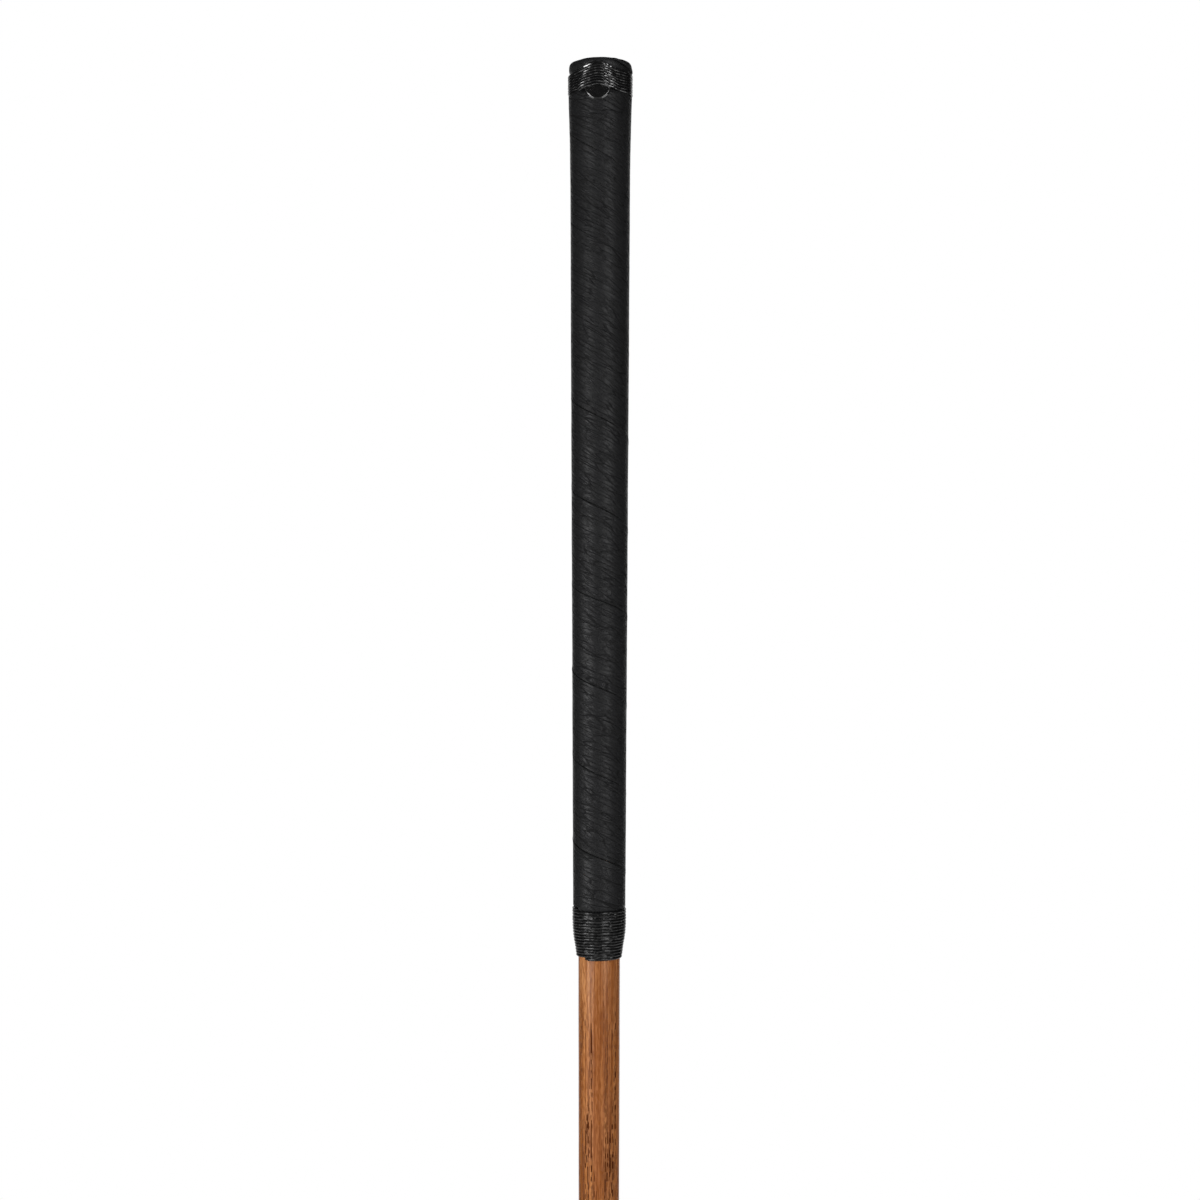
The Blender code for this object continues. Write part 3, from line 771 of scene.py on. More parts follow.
@partial(Effect, Width=0.06)
def wrinkles(vector: Wire, width: Wire) -> dict[str, Wire]:
    """Crisp thin lines between long cells, drawn out along the vector's first axis and broken here and there.

    Args:
        vector: Where they are read.
        width: Of a line, as a share of a cell.

    Returns:
        The mask of the lines.
    """
    bent = vector.moved_aside(vector.noise(0.6, 1.0).ranged(0.3, 0.7, -0.16, 0.16))
    edges = bent.on("TexVoronoi", {"Vector": bent, "Scale": 1.0}, "Distance", feature="DISTANCE_TO_EDGE")
    return {"Line": (edges / width).ranged(0.0, 1.0, 1.0, 0.0) * vector.noise(0.5, 1.0).ranged(0.36, 0.54)}


@partial(Effect, Share=0.3)
def specks(vector: Wire, share: Wire) -> dict[str, Wire]:
    """Small scattered pits, grains or dust specks."""
    near, _chance = vector.cells()
    return {"Mask": (share * vector.noise(0.37, 1.0).ranged(0.35, 0.7) - near).ranged(0.0, 0.12)}


@partial(Effect, Break=0.5)
def strokes(vector: Wire, broken: Wire) -> dict[str, Wire]:
    """Fine parallel marks of a file or a brush, drawn out along the vector's first axis."""
    kept = 1.0 - vector.noise(0.21, 1.0).ranged(0.3, 0.7) * broken
    return {"Height": vector.noise(1.0, 3.0, 0.65) * kept}


class Look:
    """A new material: where its patterns start, and the shader that they feed."""

    def __init__(self, name: str) -> None:
        """Open a material of a name."""
        self.material = bpy.data.materials.new(name)
        self.material.use_nodes = True
        self.tree = self.material.node_tree

    @cached_property
    def place(self) -> Wire:
        """Places on the club, in metres."""
        return Wire(add_node(self.tree, "TexCoord", {}).outputs["Object"])

    def chart(self, name: str) -> Wire:
        """Lengths on a piece's own chart, in metres."""
        return Wire(add_node(self.tree, "UVMap", {}, uv_map=name).outputs[0])

    def dressed(self, **inputs: object) -> bpy.types.Material:
        """Feed the shader, and give the finished material.

        Args:
            **inputs: The shader's inputs by name, with _ for a space.

        Returns:
            The material.
        """
        named = {key.replace("_", " "): value for key, value in inputs.items()}
        feed(self.tree.nodes["Principled BSDF"], named)
        return self.material


@dataclass(frozen=True)
class WetFilm:
    """Hard glossy film of pitch that lies in broken patches."""

    cover: float
    roughness: float
    bare: float = 0.50
    left: float = 0.06
    density: float = 2.1
    patches: Triple = (560, 560, 1500)
    fade: float = 0.05

    def lay(self, place: Wire) -> dict[str, object]:
        """Lay the film.

        Args:
            place: Places on the club.

        Returns:
            What it adds to a shader's inputs.
        """
        thinner = place.axis("X").ranged(MM, -MM, 0.0, self.left)
        broken = place.noise(self.patches, 1.0) - thinner
        weight = broken.ranged(self.bare - self.fade, self.bare + self.fade, 0.0, self.cover)
        return {"Coat_Weight": weight, "Coat_Roughness": self.roughness, "Coat_IOR": self.density}


@dataclass(frozen=True)
class HickoryFinish:
    """Oiled, stained hickory: long grain, ring-porous streaks and a thin worn varnish."""

    pale: Color = (0.500, 0.206, 0.065)
    mid: Color = (0.385, 0.146, 0.050)
    # Lighter wood below the binding, with a painted highlight laid into it.
    fresh_lit: Color = (0.560, 0.255, 0.098)
    deep: Color = (0.160, 0.044, 0.009)
    pore: Color = (0.060, 0.0125, 0.0003)
    streaks: Triple = (560, 560, 9)
    grain: Triple = (1350, 1350, 48)
    hairs: Triple = (2100, 2100, 330)
    clouds: Triple = (75, 75, 12)
    wear: Triple = (190, 190, 38)
    # Heights, strength and sideways fall of the band below the binding that holds the painted highlight.
    fresh_lit_from: float = -0.205
    fresh_lit_to: float = -0.172
    fresh_lit_share: float = 0.75
    fresh_lit_edge: tuple[float, float] = (0.0024, 0.0050)
    # Edges of the dark band down the right of the front: painted shade with some dark grain.
    shade_band_edge: tuple[float, float] = (0.0014, 0.0032)
    shade_band_end: tuple[float, float] = (0.0050, 0.0066)
    roughness: float = 0.23
    density: float = 1.27
    ring_turn: float = 0.20
    ring_pitch: float = 0.0086
    ring_lean: float = 0.028
    late: float = 0.45
    grain_depth: float = 0.00003
    pore_depth: float = 0.00005

    def build(self) -> bpy.types.Material:
        """Make the material.

        Returns:
            The material.
        """
        look = Look("hickory_look")
        place = look.place
        turned = place.scaled(1.0, turn=(0, 0, self.ring_turn))
        early = self.rings(turned)
        streak = turned.noise(self.streaks, 2.0, 0.55)
        fine = turned.noise(self.grain, 1.0, shift=(0.7, 0.2, 0.4))
        hair = turned.noise(self.hairs, 1.0)
        side, height = place.axis("X"), place.axis("Z")
        # The band below the binding: lighter wood and a painted highlight.
        fresh_lit = height.ranged(self.fresh_lit_from, self.fresh_lit_to, 0.0, self.fresh_lit_share)
        pore = self.pores(turned, early, fresh_lit)
        color = coated(
            tint(streak.ranged(0.36, 0.64), self.mid, self.pale),
            # Painted highlight: the band is full over the left and middle of the front and half on the right.
            (fresh_lit * side.ranged(*self.fresh_lit_edge, 1.0, 0.5), self.fresh_lit),
            # Painted shade with some dark grain: a dark band down the right of the front, stronger lower
            # down.
            (self.shade_band(side, height, streak), self.deep),
            (place.noise(self.clouds).ranged(0.40, 0.66, 0.0, 0.50), self.deep),
            ((1.0 - early) * self.late, self.deep),
            (fine.ranged(0.42, 0.62, 0.0, 0.65), self.deep),
            (hair.ranged(0.42, 0.66, 0.0, 0.60), self.deep),
            (pore, self.pore),
        )
        rough = unevenness(place.scaled(self.wear), Low=-0.06, High=0.10) + self.roughness + pore * 0.7
        normal = fine.bump(self.grain_depth, (hair - pore).bump(self.pore_depth))
        return look.dressed(Base_Color=color, Roughness=rough, Normal=normal, IOR=self.density)

    def shade_band(self, side: Wire, height: Wire, streak: Wire) -> Wire:
        """Mask of a dark band down the right of the front, whose edge strays with streaks: painted shade and
        dark grain.
        """
        edge = (side + streak * 0.0012).ranged(*self.shade_band_edge) - side.ranged(*self.shade_band_end)
        return (edge * height.ranged(self.fresh_lit_to, self.fresh_lit_from, 0.26, 0.34)).held()

    def rings(self, place: Wire) -> Wire:
        """Yearly rings cut lengthwise: 1 at the porous start of each, fading outwards.

        Args:
            place: Places on the club, turned to the rings.

        Returns:
            The mask.
        """
        across = place.axis("X") + place.axis("Z") * self.ring_lean
        steps = across / self.ring_pitch + place.noise((110, 110, 6)) * 0.8
        ring = steps.math("FRACT", steps)
        return ring.ranged(0.0, 0.10) * (1.0 - ring.ranged(0.30, 0.75))

    def pores(self, place: Wire, early: Wire, fresh_lit: Wire) -> Wire:
        """Short dark dashes along the grain, thick in the porous wood and thin elsewhere.

        Args:
            place: Places on the club, turned to the rings.
            early: Mask of the porous wood.
            fresh_lit: Mask of the band below the binding, which shows few: lighter wood with a painted
                highlight.

        Returns:
            The mask.
        """
        swayed = place.moved_aside(place.noise((110, 110, 16), 1.0).ranged(0.3, 0.7, 0.0, 0.0006))
        sparse = place.noise((260, 260, 22), 1.0, shift=(0.3, 0.1, 0.7)).ranged(0.34, 0.56, 0.3, 1.0)
        where = (early + 0.42).held() * sparse * (1.0 - fresh_lit)
        thin = self.dashes(swayed, (where + 0.15).held(), 2400.0, 420.0)
        return self.dashes(swayed, where, 1650.0, 290.0).or_more(thin * 0.6)

    def dashes(self, place: Wire, where: Wire, across: float, along: float) -> Wire:
        """Straight lines along the grain, each broken into dashes of its own.

        Args:
            place: Places on the club.
            where: How thick the lines stand.
            across: Lines per metre round the shaft.
            along: Breaks per metre of its length.

        Returns:
            The mask.
        """
        near, chance = place.cells(across, flat=True)
        own = place.on("CombineXYZ", {0: chance * 71.0, 2: place.axis("Z") * along})
        reach = where * (chance * 0.20 + 0.34)
        return own.noise(1.0, 0.0).ranged(0.44, 0.54) * (reach - near).ranged(0.0, 0.08)


@dataclass(frozen=True)
class LeatherFinish:
    """Black waxed calf: fine slanting wrinkles, pores and a dull hand-rubbed shine.

    Its pattern follows the strip's chart, whose lengths along and across it has factors for, or the places
    on the club.
    """

    name: str = "black_calf"
    charted: bool = True
    along: float = 120.0
    across: float = 430.0
    drawn: tuple[float, float] = (0.70, 1.05)
    lean: float = -0.13
    pores: float = 3300.0
    ground: Color = (0.0096, 0.0097, 0.0102)
    rubbed: Color = (0.0158, 0.0160, 0.0166)
    # Painted shade for the valleys of the creases and the wrinkle lines.
    shaded_valley: Color = (0.0030, 0.0030, 0.0032)
    roughness: float = 0.35
    density: float = 1.48
    pad_depth: float = 0.00011
    pore_depth: float = 0.000012
    sheen: float = 0.02
    shine: float = 0.14

    def build(self) -> bpy.types.Material:
        """Make the material.

        Returns:
            The material.
        """
        look = Look(self.name)
        level = self.across * 0.8
        if self.charted:
            vector, stretch, patch = look.chart("wound"), (self.along, self.across, 1), (420, 1000, 1)
        else:
            vector, stretch, patch = look.place, (level, level, self.across), (600, 600, 700)
        finer = tuple(2.7 * factor for factor in stretch)
        drawn = (stretch[0] * self.drawn[0], stretch[1] * self.drawn[1], stretch[2])
        wide, wide_valley = creases(vector.scaled(stretch), Wander=0.7)
        fine, fine_valley = creases(vector.scaled(finer, (3.1, 7.7, 0.2)), Wander=0.5)
        line = wrinkles(vector.scaled(drawn, (1.3, 4.1, 0.6), (0, 0, self.lean)), Width=0.08)
        rub = unevenness(vector.scaled(patch))
        pore, _chance = vector.cells(self.pores)
        height = (wide + fine * 0.50) * 0.75 + line * -1.0
        # Mask of the creases' valleys and the wrinkle lines, where shade is painted into the colour and the
        # gloss is dulled.
        shaded_valley = (wide_valley * 0.5).or_more(line).or_more(fine_valley * 0.6)
        return look.dressed(
            Base_Color=coated(self.ground, (rub * 0.7, self.rubbed), (shaded_valley * 0.9, self.shaded_valley)),
            Roughness=(self.roughness + 0.08) - rub * 0.14 + shaded_valley * 0.30,
            Normal=height.bump(self.pad_depth, pore.ranged(0.0, 0.8).bump(self.pore_depth)),
            IOR=self.density, Specular_IOR_Level=self.shine, Sheen_Weight=self.sheen, Sheen_Roughness=0.4,
        )


@dataclass(frozen=True)
class GlossFinish:
    """What pitched pieces share: a gloss that is dulled in patches, under a hard film."""

    name: str
    lump_depth: float
    film: WetFilm
    roughness: float = 0.16
    dull: float = 0.34
    density: float = 1.50
    shine: float = 0.30

    def gloss(self, place: Wire, dull: Wire) -> dict[str, object]:
        """Shine of the piece.

        Args:
            place: Places on the club.
            dull: Mask of the dull patches.

        Returns:
            The shader's inputs that make it.
        """
        rough = dull * (self.dull - self.roughness) + self.roughness
        inputs = {"Roughness": rough, "IOR": self.density, "Specular_IOR_Level": self.shine}
        return inputs | self.film.lay(place)


@dataclass(frozen=True)
class ThreadFinish(GlossFinish):
    """Waxed linen thread soaked in black pitch: twisted plies under a lumpy gloss."""

    name: str = "pitched_linen"
    lump_depth: float = 0.00002
    film: WetFilm = WetFilm(1.0, 0.07)
    ground: Color = (0.0042, 0.0042, 0.0045)
    dusty: Color = (0.0120, 0.0118, 0.0115)
    plies: Triple = (420, 3300, 1)
    twist: float = 0.62
    ply_depth: float = 0.000003
    dust_dull: float = 0.03

    def build(self) -> bpy.types.Material:
        """Make the material.

        Returns:
            The material.
        """
        look = Look(self.name)
        place = look.place
        ply = look.chart("thread").scaled(1.0, turn=(0, 0, self.twist)).noise(self.plies, 1.0, 0.4)
        blob = place.noise((420, 420, 760), 1.0, 0.4)
        patch = unevenness(place.scaled((200, 200, 600)))
        dust = specks(place.scaled(2600), Share=0.34)
        return look.dressed(
            Base_Color=coated(self.ground, (patch * 0.35, self.dusty), (dust * 0.5, self.dusty)),
            Normal=blob.bump(self.lump_depth, ply.bump(self.ply_depth)),
            **self.gloss(place, patch + dust * (self.dust_dull / (self.dull - self.roughness))),
        )


@dataclass(frozen=True)
class PitchFinish(GlossFinish):
    """Hardened black pitch: drops, runs and dull skin."""

    name: str = "black_pitch"
    lump_depth: float = 0.00008
    film: WetFilm = WetFilm(1.0, 0.06)
    ground: Color = (0.0040, 0.0040, 0.0042)
    skin: Color = (0.0090, 0.0088, 0.0086)

    def build(self) -> bpy.types.Material:
        """Make the material.

        Returns:
            The material.
        """
        look = Look(self.name)
        place = look.place
        dust = specks(place.scaled(2900), Share=0.30)
        dull = unevenness(place.scaled((330, 330, 360))).or_more(dust * 0.15)
        return look.dressed(
            Base_Color=tint(dull, self.ground, self.skin),
            Normal=place.noise((380, 380, 520), 1.0, 0.4).bump(self.lump_depth), **self.gloss(place, dull),
        )


@dataclass(frozen=True)
class ClothFinish:
    """Wool selvedge cloth: a plain weave with a hairy nap."""

    warp: Color = (0.040, 0.036, 0.032)
    weft: Color = (0.062, 0.056, 0.050)
    # Painted shade between the yarns.
    gap: Color = (0.012, 0.011, 0.010)
    yarn: float = 1250.0
    depth: float = 0.00018

    def build(self) -> bpy.types.Material:
        """Make the material.

        Returns:
            The material.
        """
        look = Look("listing_weave")
        vector = look.chart("wound").scaled((self.yarn, self.yarn, 1))
        one, two = (vector.math("SINE", vector.axis(axis) * math.pi) for axis in "XY")
        over = one * two
        nap = vector.noise(1.7, 3.0, 0.6)
        height = abs(over) + nap * 0.5
        # Where the weave is low between the yarns, the colour turns to the gap colour: painted shade.
        woven = coated(
            tint(over.ranged(-0.4, 0.4), self.warp, self.weft), (height.ranged(0.55, 0.2), self.gap),
            (0.35, tint(nap, self.warp, self.weft)),
        )
        return look.dressed(
            Base_Color=woven, Roughness=nap.ranged(0.2, 0.8, 0.85, 0.98), Normal=height.bump(self.depth),
            Sheen_Weight=0.3,
        )


@dataclass(frozen=True)
class JapanFinish:
    """Black japanned tack head: hard glossy lacquer, rubbed and lightly scratched.

    The clear coat on it is whole only at two bands to the left and right of its middle.
    """

    name: str = "black_japan"
    ground: Color = (0.0050, 0.0050, 0.0052)
    worn: Color = (0.0100, 0.0097, 0.0094)
    roughness: float = 0.06
    middle: float = -0.0009
    inner: tuple[float, float] = (0.0012, 0.0018)
    outer: tuple[float, float] = (0.0036, 0.0042)
    scratch_depth: float = 0.000008

    def build(self) -> bpy.types.Material:
        """Make the material.

        Returns:
            The material.
        """
        look = Look(self.name)
        place = look.place
        marks = strokes(place.scaled((500, 500, 4200)), Break=0.9)
        dull = specks(place.scaled(2400), Share=0.26).or_more(unevenness(place.scaled(420)) * 0.4)
        aside = abs(place.axis("X") - self.middle)
        return look.dressed(
            Base_Color=tint(dull, self.ground, self.worn), Roughness=dull * 0.22 + self.roughness,
            Normal=marks.bump(self.scratch_depth), IOR=1.5, Specular_IOR_Level=0.3,
            Coat_Weight=(aside.ranged(*self.inner) - aside.ranged(*self.outer)).held(),
            Coat_Roughness=0.06, Coat_IOR=2.1,
        )


@dataclass(frozen=True)
class SteelFinish:
    """Carbon steel, filed and rubbed bright, browned by handling and pitted here and there."""

    name: str = "forged_steel_look"
    bright: Color = (0.45, 0.44, 0.42)
    browned: Color = (0.17, 0.135, 0.105)
    pit: Color = (0.045, 0.026, 0.016)
    roughness: float = 0.25
    along: float = 55.0
    across: float = 2300.0
    bend_z: float = -0.668
    bend_blend: float = 0.006
    lean: float = 0.3316
    stroke_depth: float = 0.00003
    pit_depth: float = 0.00006
    stray: float = 0.0012

    def build(self) -> bpy.types.Material:
        """Make the material.

        Returns:
            The material.
        """
        look = Look(self.name)
        place = look.place
        mark = self.marks(place)
        mottle = unevenness(place.scaled(520)) * 0.6 + 0.35
        stain = unevenness(place.scaled((95, 130, 95))) * mottle
        ragged = place.moved_aside(place.noise((2600, 2600, 2600)).ranged(0.25, 0.75, 0.0, self.stray))
        pits = specks(ragged.scaled(1250), Share=0.40)
        color = coated(
            self.bright, (stain, self.browned), (mark.ranged(0.30, 0.62, 0.0, 0.5), self.browned),
            (pits * 0.75, self.pit),
        )
        return look.dressed(
            Base_Color=color, Metallic=1.0 - pits * 0.7,
            Roughness=(stain * 0.26 + self.roughness + pits * 0.35).held(),
            Normal=(1.0 - pits).bump(self.pit_depth, mark.bump(self.stroke_depth)),
        )

    def marks(self, place: Wire) -> Wire:
        """File marks: along the blade below the bend, and up the neck and the hosel above it.

        Args:
            place: Places on the club.

        Returns:
            Their height.
        """
        level = place.scaled(1.0, turn=(0, self.lean, 0)).scaled((self.along, self.across, self.across))
        upright = place.scaled((self.across, self.across, self.along))
        neck = place.axis("Z").ranged(self.bend_z - self.bend_blend, self.bend_z + self.bend_blend)
        return strokes(level, Break=0.5) * (1.0 - neck) + strokes(upright, Break=0.6) * neck


@dataclass
class Shaft:
    """The hickory stick, from its butt under the cap to its tip in the socket."""

    lines: ClubLines
    sides: int = 72
    butt_round: float = 0.0012
    grip_steps: int = 6
    bare_steps: int = 40
    tip_steps: int = 4
    ripple: float = 0.00003

    def build(self, look: bpy.types.Material) -> None:
        """Turn the stick, and leave it as slightly out of round as a scraped one.

        Args:
            look: Its material.
        """
        lines, top = self.lines, self.lines.shaft_top_z
        rings = [
            (lines.shaft(top) - self.butt_round * (1 - sine), top - self.butt_round * (1 - cosine))
            for sine, cosine in quarter(4)
        ]
        stretches = (
            (top - self.butt_round * 2, lines.grip_end_z, self.grip_steps),
            (lines.grip_end_z, lines.mouth_z, self.bare_steps),
            (lines.mouth_z, lines.shaft_tip_z, self.tip_steps),
        )
        heights = [mix(start, end, i / steps) for start, end, steps in stretches for i in range(steps)]
        rings += [(lines.shaft(z), z) for z in [*heights, lines.shaft_tip_z]]
        shaft = Bench.turned("hickory_stick", rings, self.sides)
        Bench.lay(shaft, self.scrape)
        Bench.finish(shaft, look, Slot.HICKORY, "hickory_shaft", sharp=40)

    def scrape(self, point: Vector) -> Vector:
        """Move a point in or out by what a scraper leaves.

        Args:
            point: A point of the round stick.

        Returns:
            Its place.
        """
        if not self.lines.mouth_z < point.z < self.lines.grip_end_z:
            return point
        radius = math.hypot(point.x, point.y)
        grown = radius + self.ripple * lump(point.x * 240, point.y * 240, point.z * 30)
        return Vector((point.x * grown / radius, point.y * grown / radius, point.z))


@dataclass
class WoundStrip:
    """A strip that is cut flat, pared, and wound left-handed down the grip.

    A point of the flat strip has its length along X, its width up Y and its thickness down from Z = 0.
    """

    lines: ClubLines
    name: str
    pitch: float
    seam: float
    seam_heights: tuple[float, ...]
    top: float
    bottom: float
    steps: int
    columns: int
    thickness: float
    pare: float

    @property
    def width(self) -> float:
        """Width of the strip down the shaft."""
        return self.pitch - self.seam

    @property
    def girth(self) -> float:
        """Mean length of one turn."""
        return TURN * (self.lines.upper_radius + self.lines.lower_radius) / 2

    def edge(self, turn: float) -> float:
        """Height of the strip's upper edge.

        The heights at which it crosses the -X and the +X side in turn, from the top, steer it. Beyond them it
        falls evenly.

        Args:
            turn: Turns from the +X side.

        Returns:
            The height.
        """
        steps = turn * 2 - 1
        last = len(self.seam_heights) - 1
        held = min(max(steps, 0.0), float(last))
        i = min(int(held), last - 1)
        before, after = self.seam_heights[max(i - 1, 0)], self.seam_heights[min(i + 2, last)]
        start, end = self.seam_heights[i], self.seam_heights[i + 1]
        share = held - i
        rise_in = (end - before) / (2 if i > 0 else 1)
        rise_out = (after - start) / (2 if i < last - 1 else 1)
        square, cube = share * share, share ** 3
        height = start * (2 * cube - 3 * square + 1) + end * (3 * square - 2 * cube)
        height += rise_in * (cube - 2 * square + share) + rise_out * (cube - square)
        return height - (steps - held) * self.pitch / 2

    def span(self, turn: float) -> tuple[float, float]:
        """Heights of the strip's lower and upper edge, cut level at both ends of the winding."""
        return max(self.edge(turn + 1) + self.seam, self.bottom), min(self.edge(turn), self.top)

    @property
    def first_turn(self) -> float:
        """Turn at which the strip sets in: its lower edge leaves the top."""
        return (self.edge(0.5) - self.width - self.top) / self.pitch + 0.5 + 1.5 / self.steps

    @property
    def last_turn(self) -> float:
        """Turn at which the strip runs out: its upper edge reaches the bottom."""
        end = len(self.seam_heights) / 2
        return end + (self.edge(end) - self.bottom) / self.pitch - 1.5 / self.steps

    def turn_at(self, point: Vector) -> float:
        """Turns from the +X side of a point of the flat strip."""
        return self.first_turn + point.x / self.girth

    def height_at(self, point: Vector) -> float:
        """Height on the club of a point of the flat strip."""
        low, high = self.span(self.turn_at(point))
        return mix(low, high, clamp(point.y / self.width))

    def chart(self, point: Vector) -> tuple[float, float]:
        """Lengths along and across the strip of a point of the flat strip."""
        turn = self.turn_at(point)
        return turn * self.girth, self.edge(turn) - self.height_at(point)

    def is_long_edge(self, ends: list[Vector]) -> bool:
        """Whether an edge of the flat strip is one of the two that are pared, by its ends."""
        slip = self.thickness / 100
        along = all(end.y < slip for end in ends) or all(end.y > self.width - slip for end in ends)
        return along and all(abs(end.z) < slip for end in ends)

    def wound(self, place: Callable[[Vector], Vector], *dress: object, sharp: float = 35) -> None:
        """Cut the strip flat, give it its thickness, pare its two long edges and wind it on.

        Args:
            place: Takes a point of the flat strip and gives its place on the club.
            *dress: Its material, its slot and the solid that it stands for.
            sharp: Degrees past which an edge stays sharp.
        """
        turns = self.last_turn - self.first_turn
        strip = Bench.sheet(self.name, round(turns * self.steps), self.columns)
        with Bench.opened(strip):
            bpy.ops.transform.resize(value=(turns * self.girth, self.width, 1), center_override=(0, 0, 0))
        Bench.use(strip, "SOLIDIFY", thickness=self.thickness, offset=-1.0)
        Bench.choose(strip, self.is_long_edge)
        with Bench.opened(strip, whole=False):
            bpy.ops.mesh.bevel(offset=self.pare, segments=3, profile=0.6, affect="EDGES")
        Bench.chart(strip, "wound", self.chart)
        Bench.lay(strip, place)
        Bench.tidy(strip)
        Bench.finish(strip, *dress, sharp=sharp)


@dataclass
class Listing(WoundStrip):
    """Cloth strip that fills out the grip under the leather."""

    fray: float = 0.00004

    def build(self, look: bpy.types.Material) -> None:
        """Wind the cloth on the wood."""
        self.wound(self.wind, look, Slot.CLOTH, "underlisting")

    def wind(self, point: Vector) -> Vector:
        """Wind a point on.

        Args:
            point: A point of the flat strip.

        Returns:
            Its place on the club.
        """
        turn, z = self.turn_at(point), self.height_at(point)
        gap = self.lines.clearance / 3
        inside = self.lines.shaft(z) + gap
        outside = self.lines.leather_inside(z) - gap + self.fray * lump(turn * 40, point.y * 900, 3.0)
        return polar(mix(outside, inside, -point.z / self.thickness), TURN * turn, z)


@dataclass
class LeatherStrip(WoundStrip):
    """Black calf strip, butted turn to turn with softly rolled edges."""

    tack: "FlatTack"
    lip: float = 0.00017
    lip_reach: float = 0.0014
    sway: float = 0.00006
    wander: float = 0.00012
    wander_reach: float = 0.006
    slack: float = 0.00002
    shut: float = 0.12
    shut_turn: float = 2.7
    opening_turns: float = 1.1
    gaping: float = 1.15
    bound_reach: float = 0.003

    def build(self, look: bpy.types.Material) -> None:
        """Wind the leather over the cloth."""
        self.wound(self.wind, look, Slot.LEATHER, "leather_strip", sharp=50)

    def gape(self, turn: float) -> float:
        """How open the seam is after a number of turns: nearly shut by the butt, open further down."""
        opened = smooth((turn - self.shut_turn) / self.opening_turns)
        opened *= clamp(0.80 + 1.1 * lump(turn * 2.1, 4.0, 1.5))
        return mix(self.shut + 0.25 * clamp(0.5 + lump(turn * 2.9, 6.0, 3.5)), self.gaping, opened)

    def stray(self, turn: float) -> float:
        """How far a hand-laid edge strays from its even spiral after a number of turns."""
        return self.wander * (lump(turn * 3.1, 0.3, 9.0) + 0.5 * lump(turn * 11, 0.6, 2.0))

    def wind(self, point: Vector) -> Vector:
        """Wind a point on, with the edges' rolled lips and the strip's slight slackness.

        Args:
            point: A point of the flat strip.

        Returns:
            Its place on the club.
        """
        lines = self.lines
        turn, z = self.turn_at(point), self.height_at(point)
        azimuth = TURN * turn
        low, high = self.span(turn)
        free = smooth((lines.top_end_z - z) / self.bound_reach)
        free *= smooth((z - lines.low_start_z) / self.bound_reach)
        to_low, to_high = z - low, high - z
        z += free * (self.stray(turn) * (1 - smooth(to_high / self.wander_reach))
                     + self.stray(turn + 1) * (1 - smooth(to_low / self.wander_reach)))
        from_lower, from_upper = point.y, self.width - point.y
        seam = turn + (from_lower < from_upper)
        depth = -point.z
        if max(depth, min(from_lower, from_upper)) < self.pare * 1.01:
            depth *= self.gape(seam)
        proud = (1 - smooth(to_low / self.lip_reach)) * (0.55 + 0.45 * lump(turn * 2.3, 5.0, 0.5))
        tucked = (1 - smooth(to_high / self.lip_reach)) * (0.45 + 0.55 * lump(turn * 2.7 + 40, 3.0, 0.5))
        outside = lines.leather_outside(z, azimuth)
        outside += free * self.sway * lump(azimuth * 0.8, z * 70, 1.7)
        outside += free * self.slack * lump(math.cos(azimuth) * 3 + turn, math.sin(azimuth) * 3, z * 330)
        outside += free * self.lip * self.gape(seam) * (proud + tucked)
        outside = self.tack.press(azimuth, z, outside)
        return polar(mix(outside, lines.leather_inside(z), depth / self.thickness), azimuth, z)


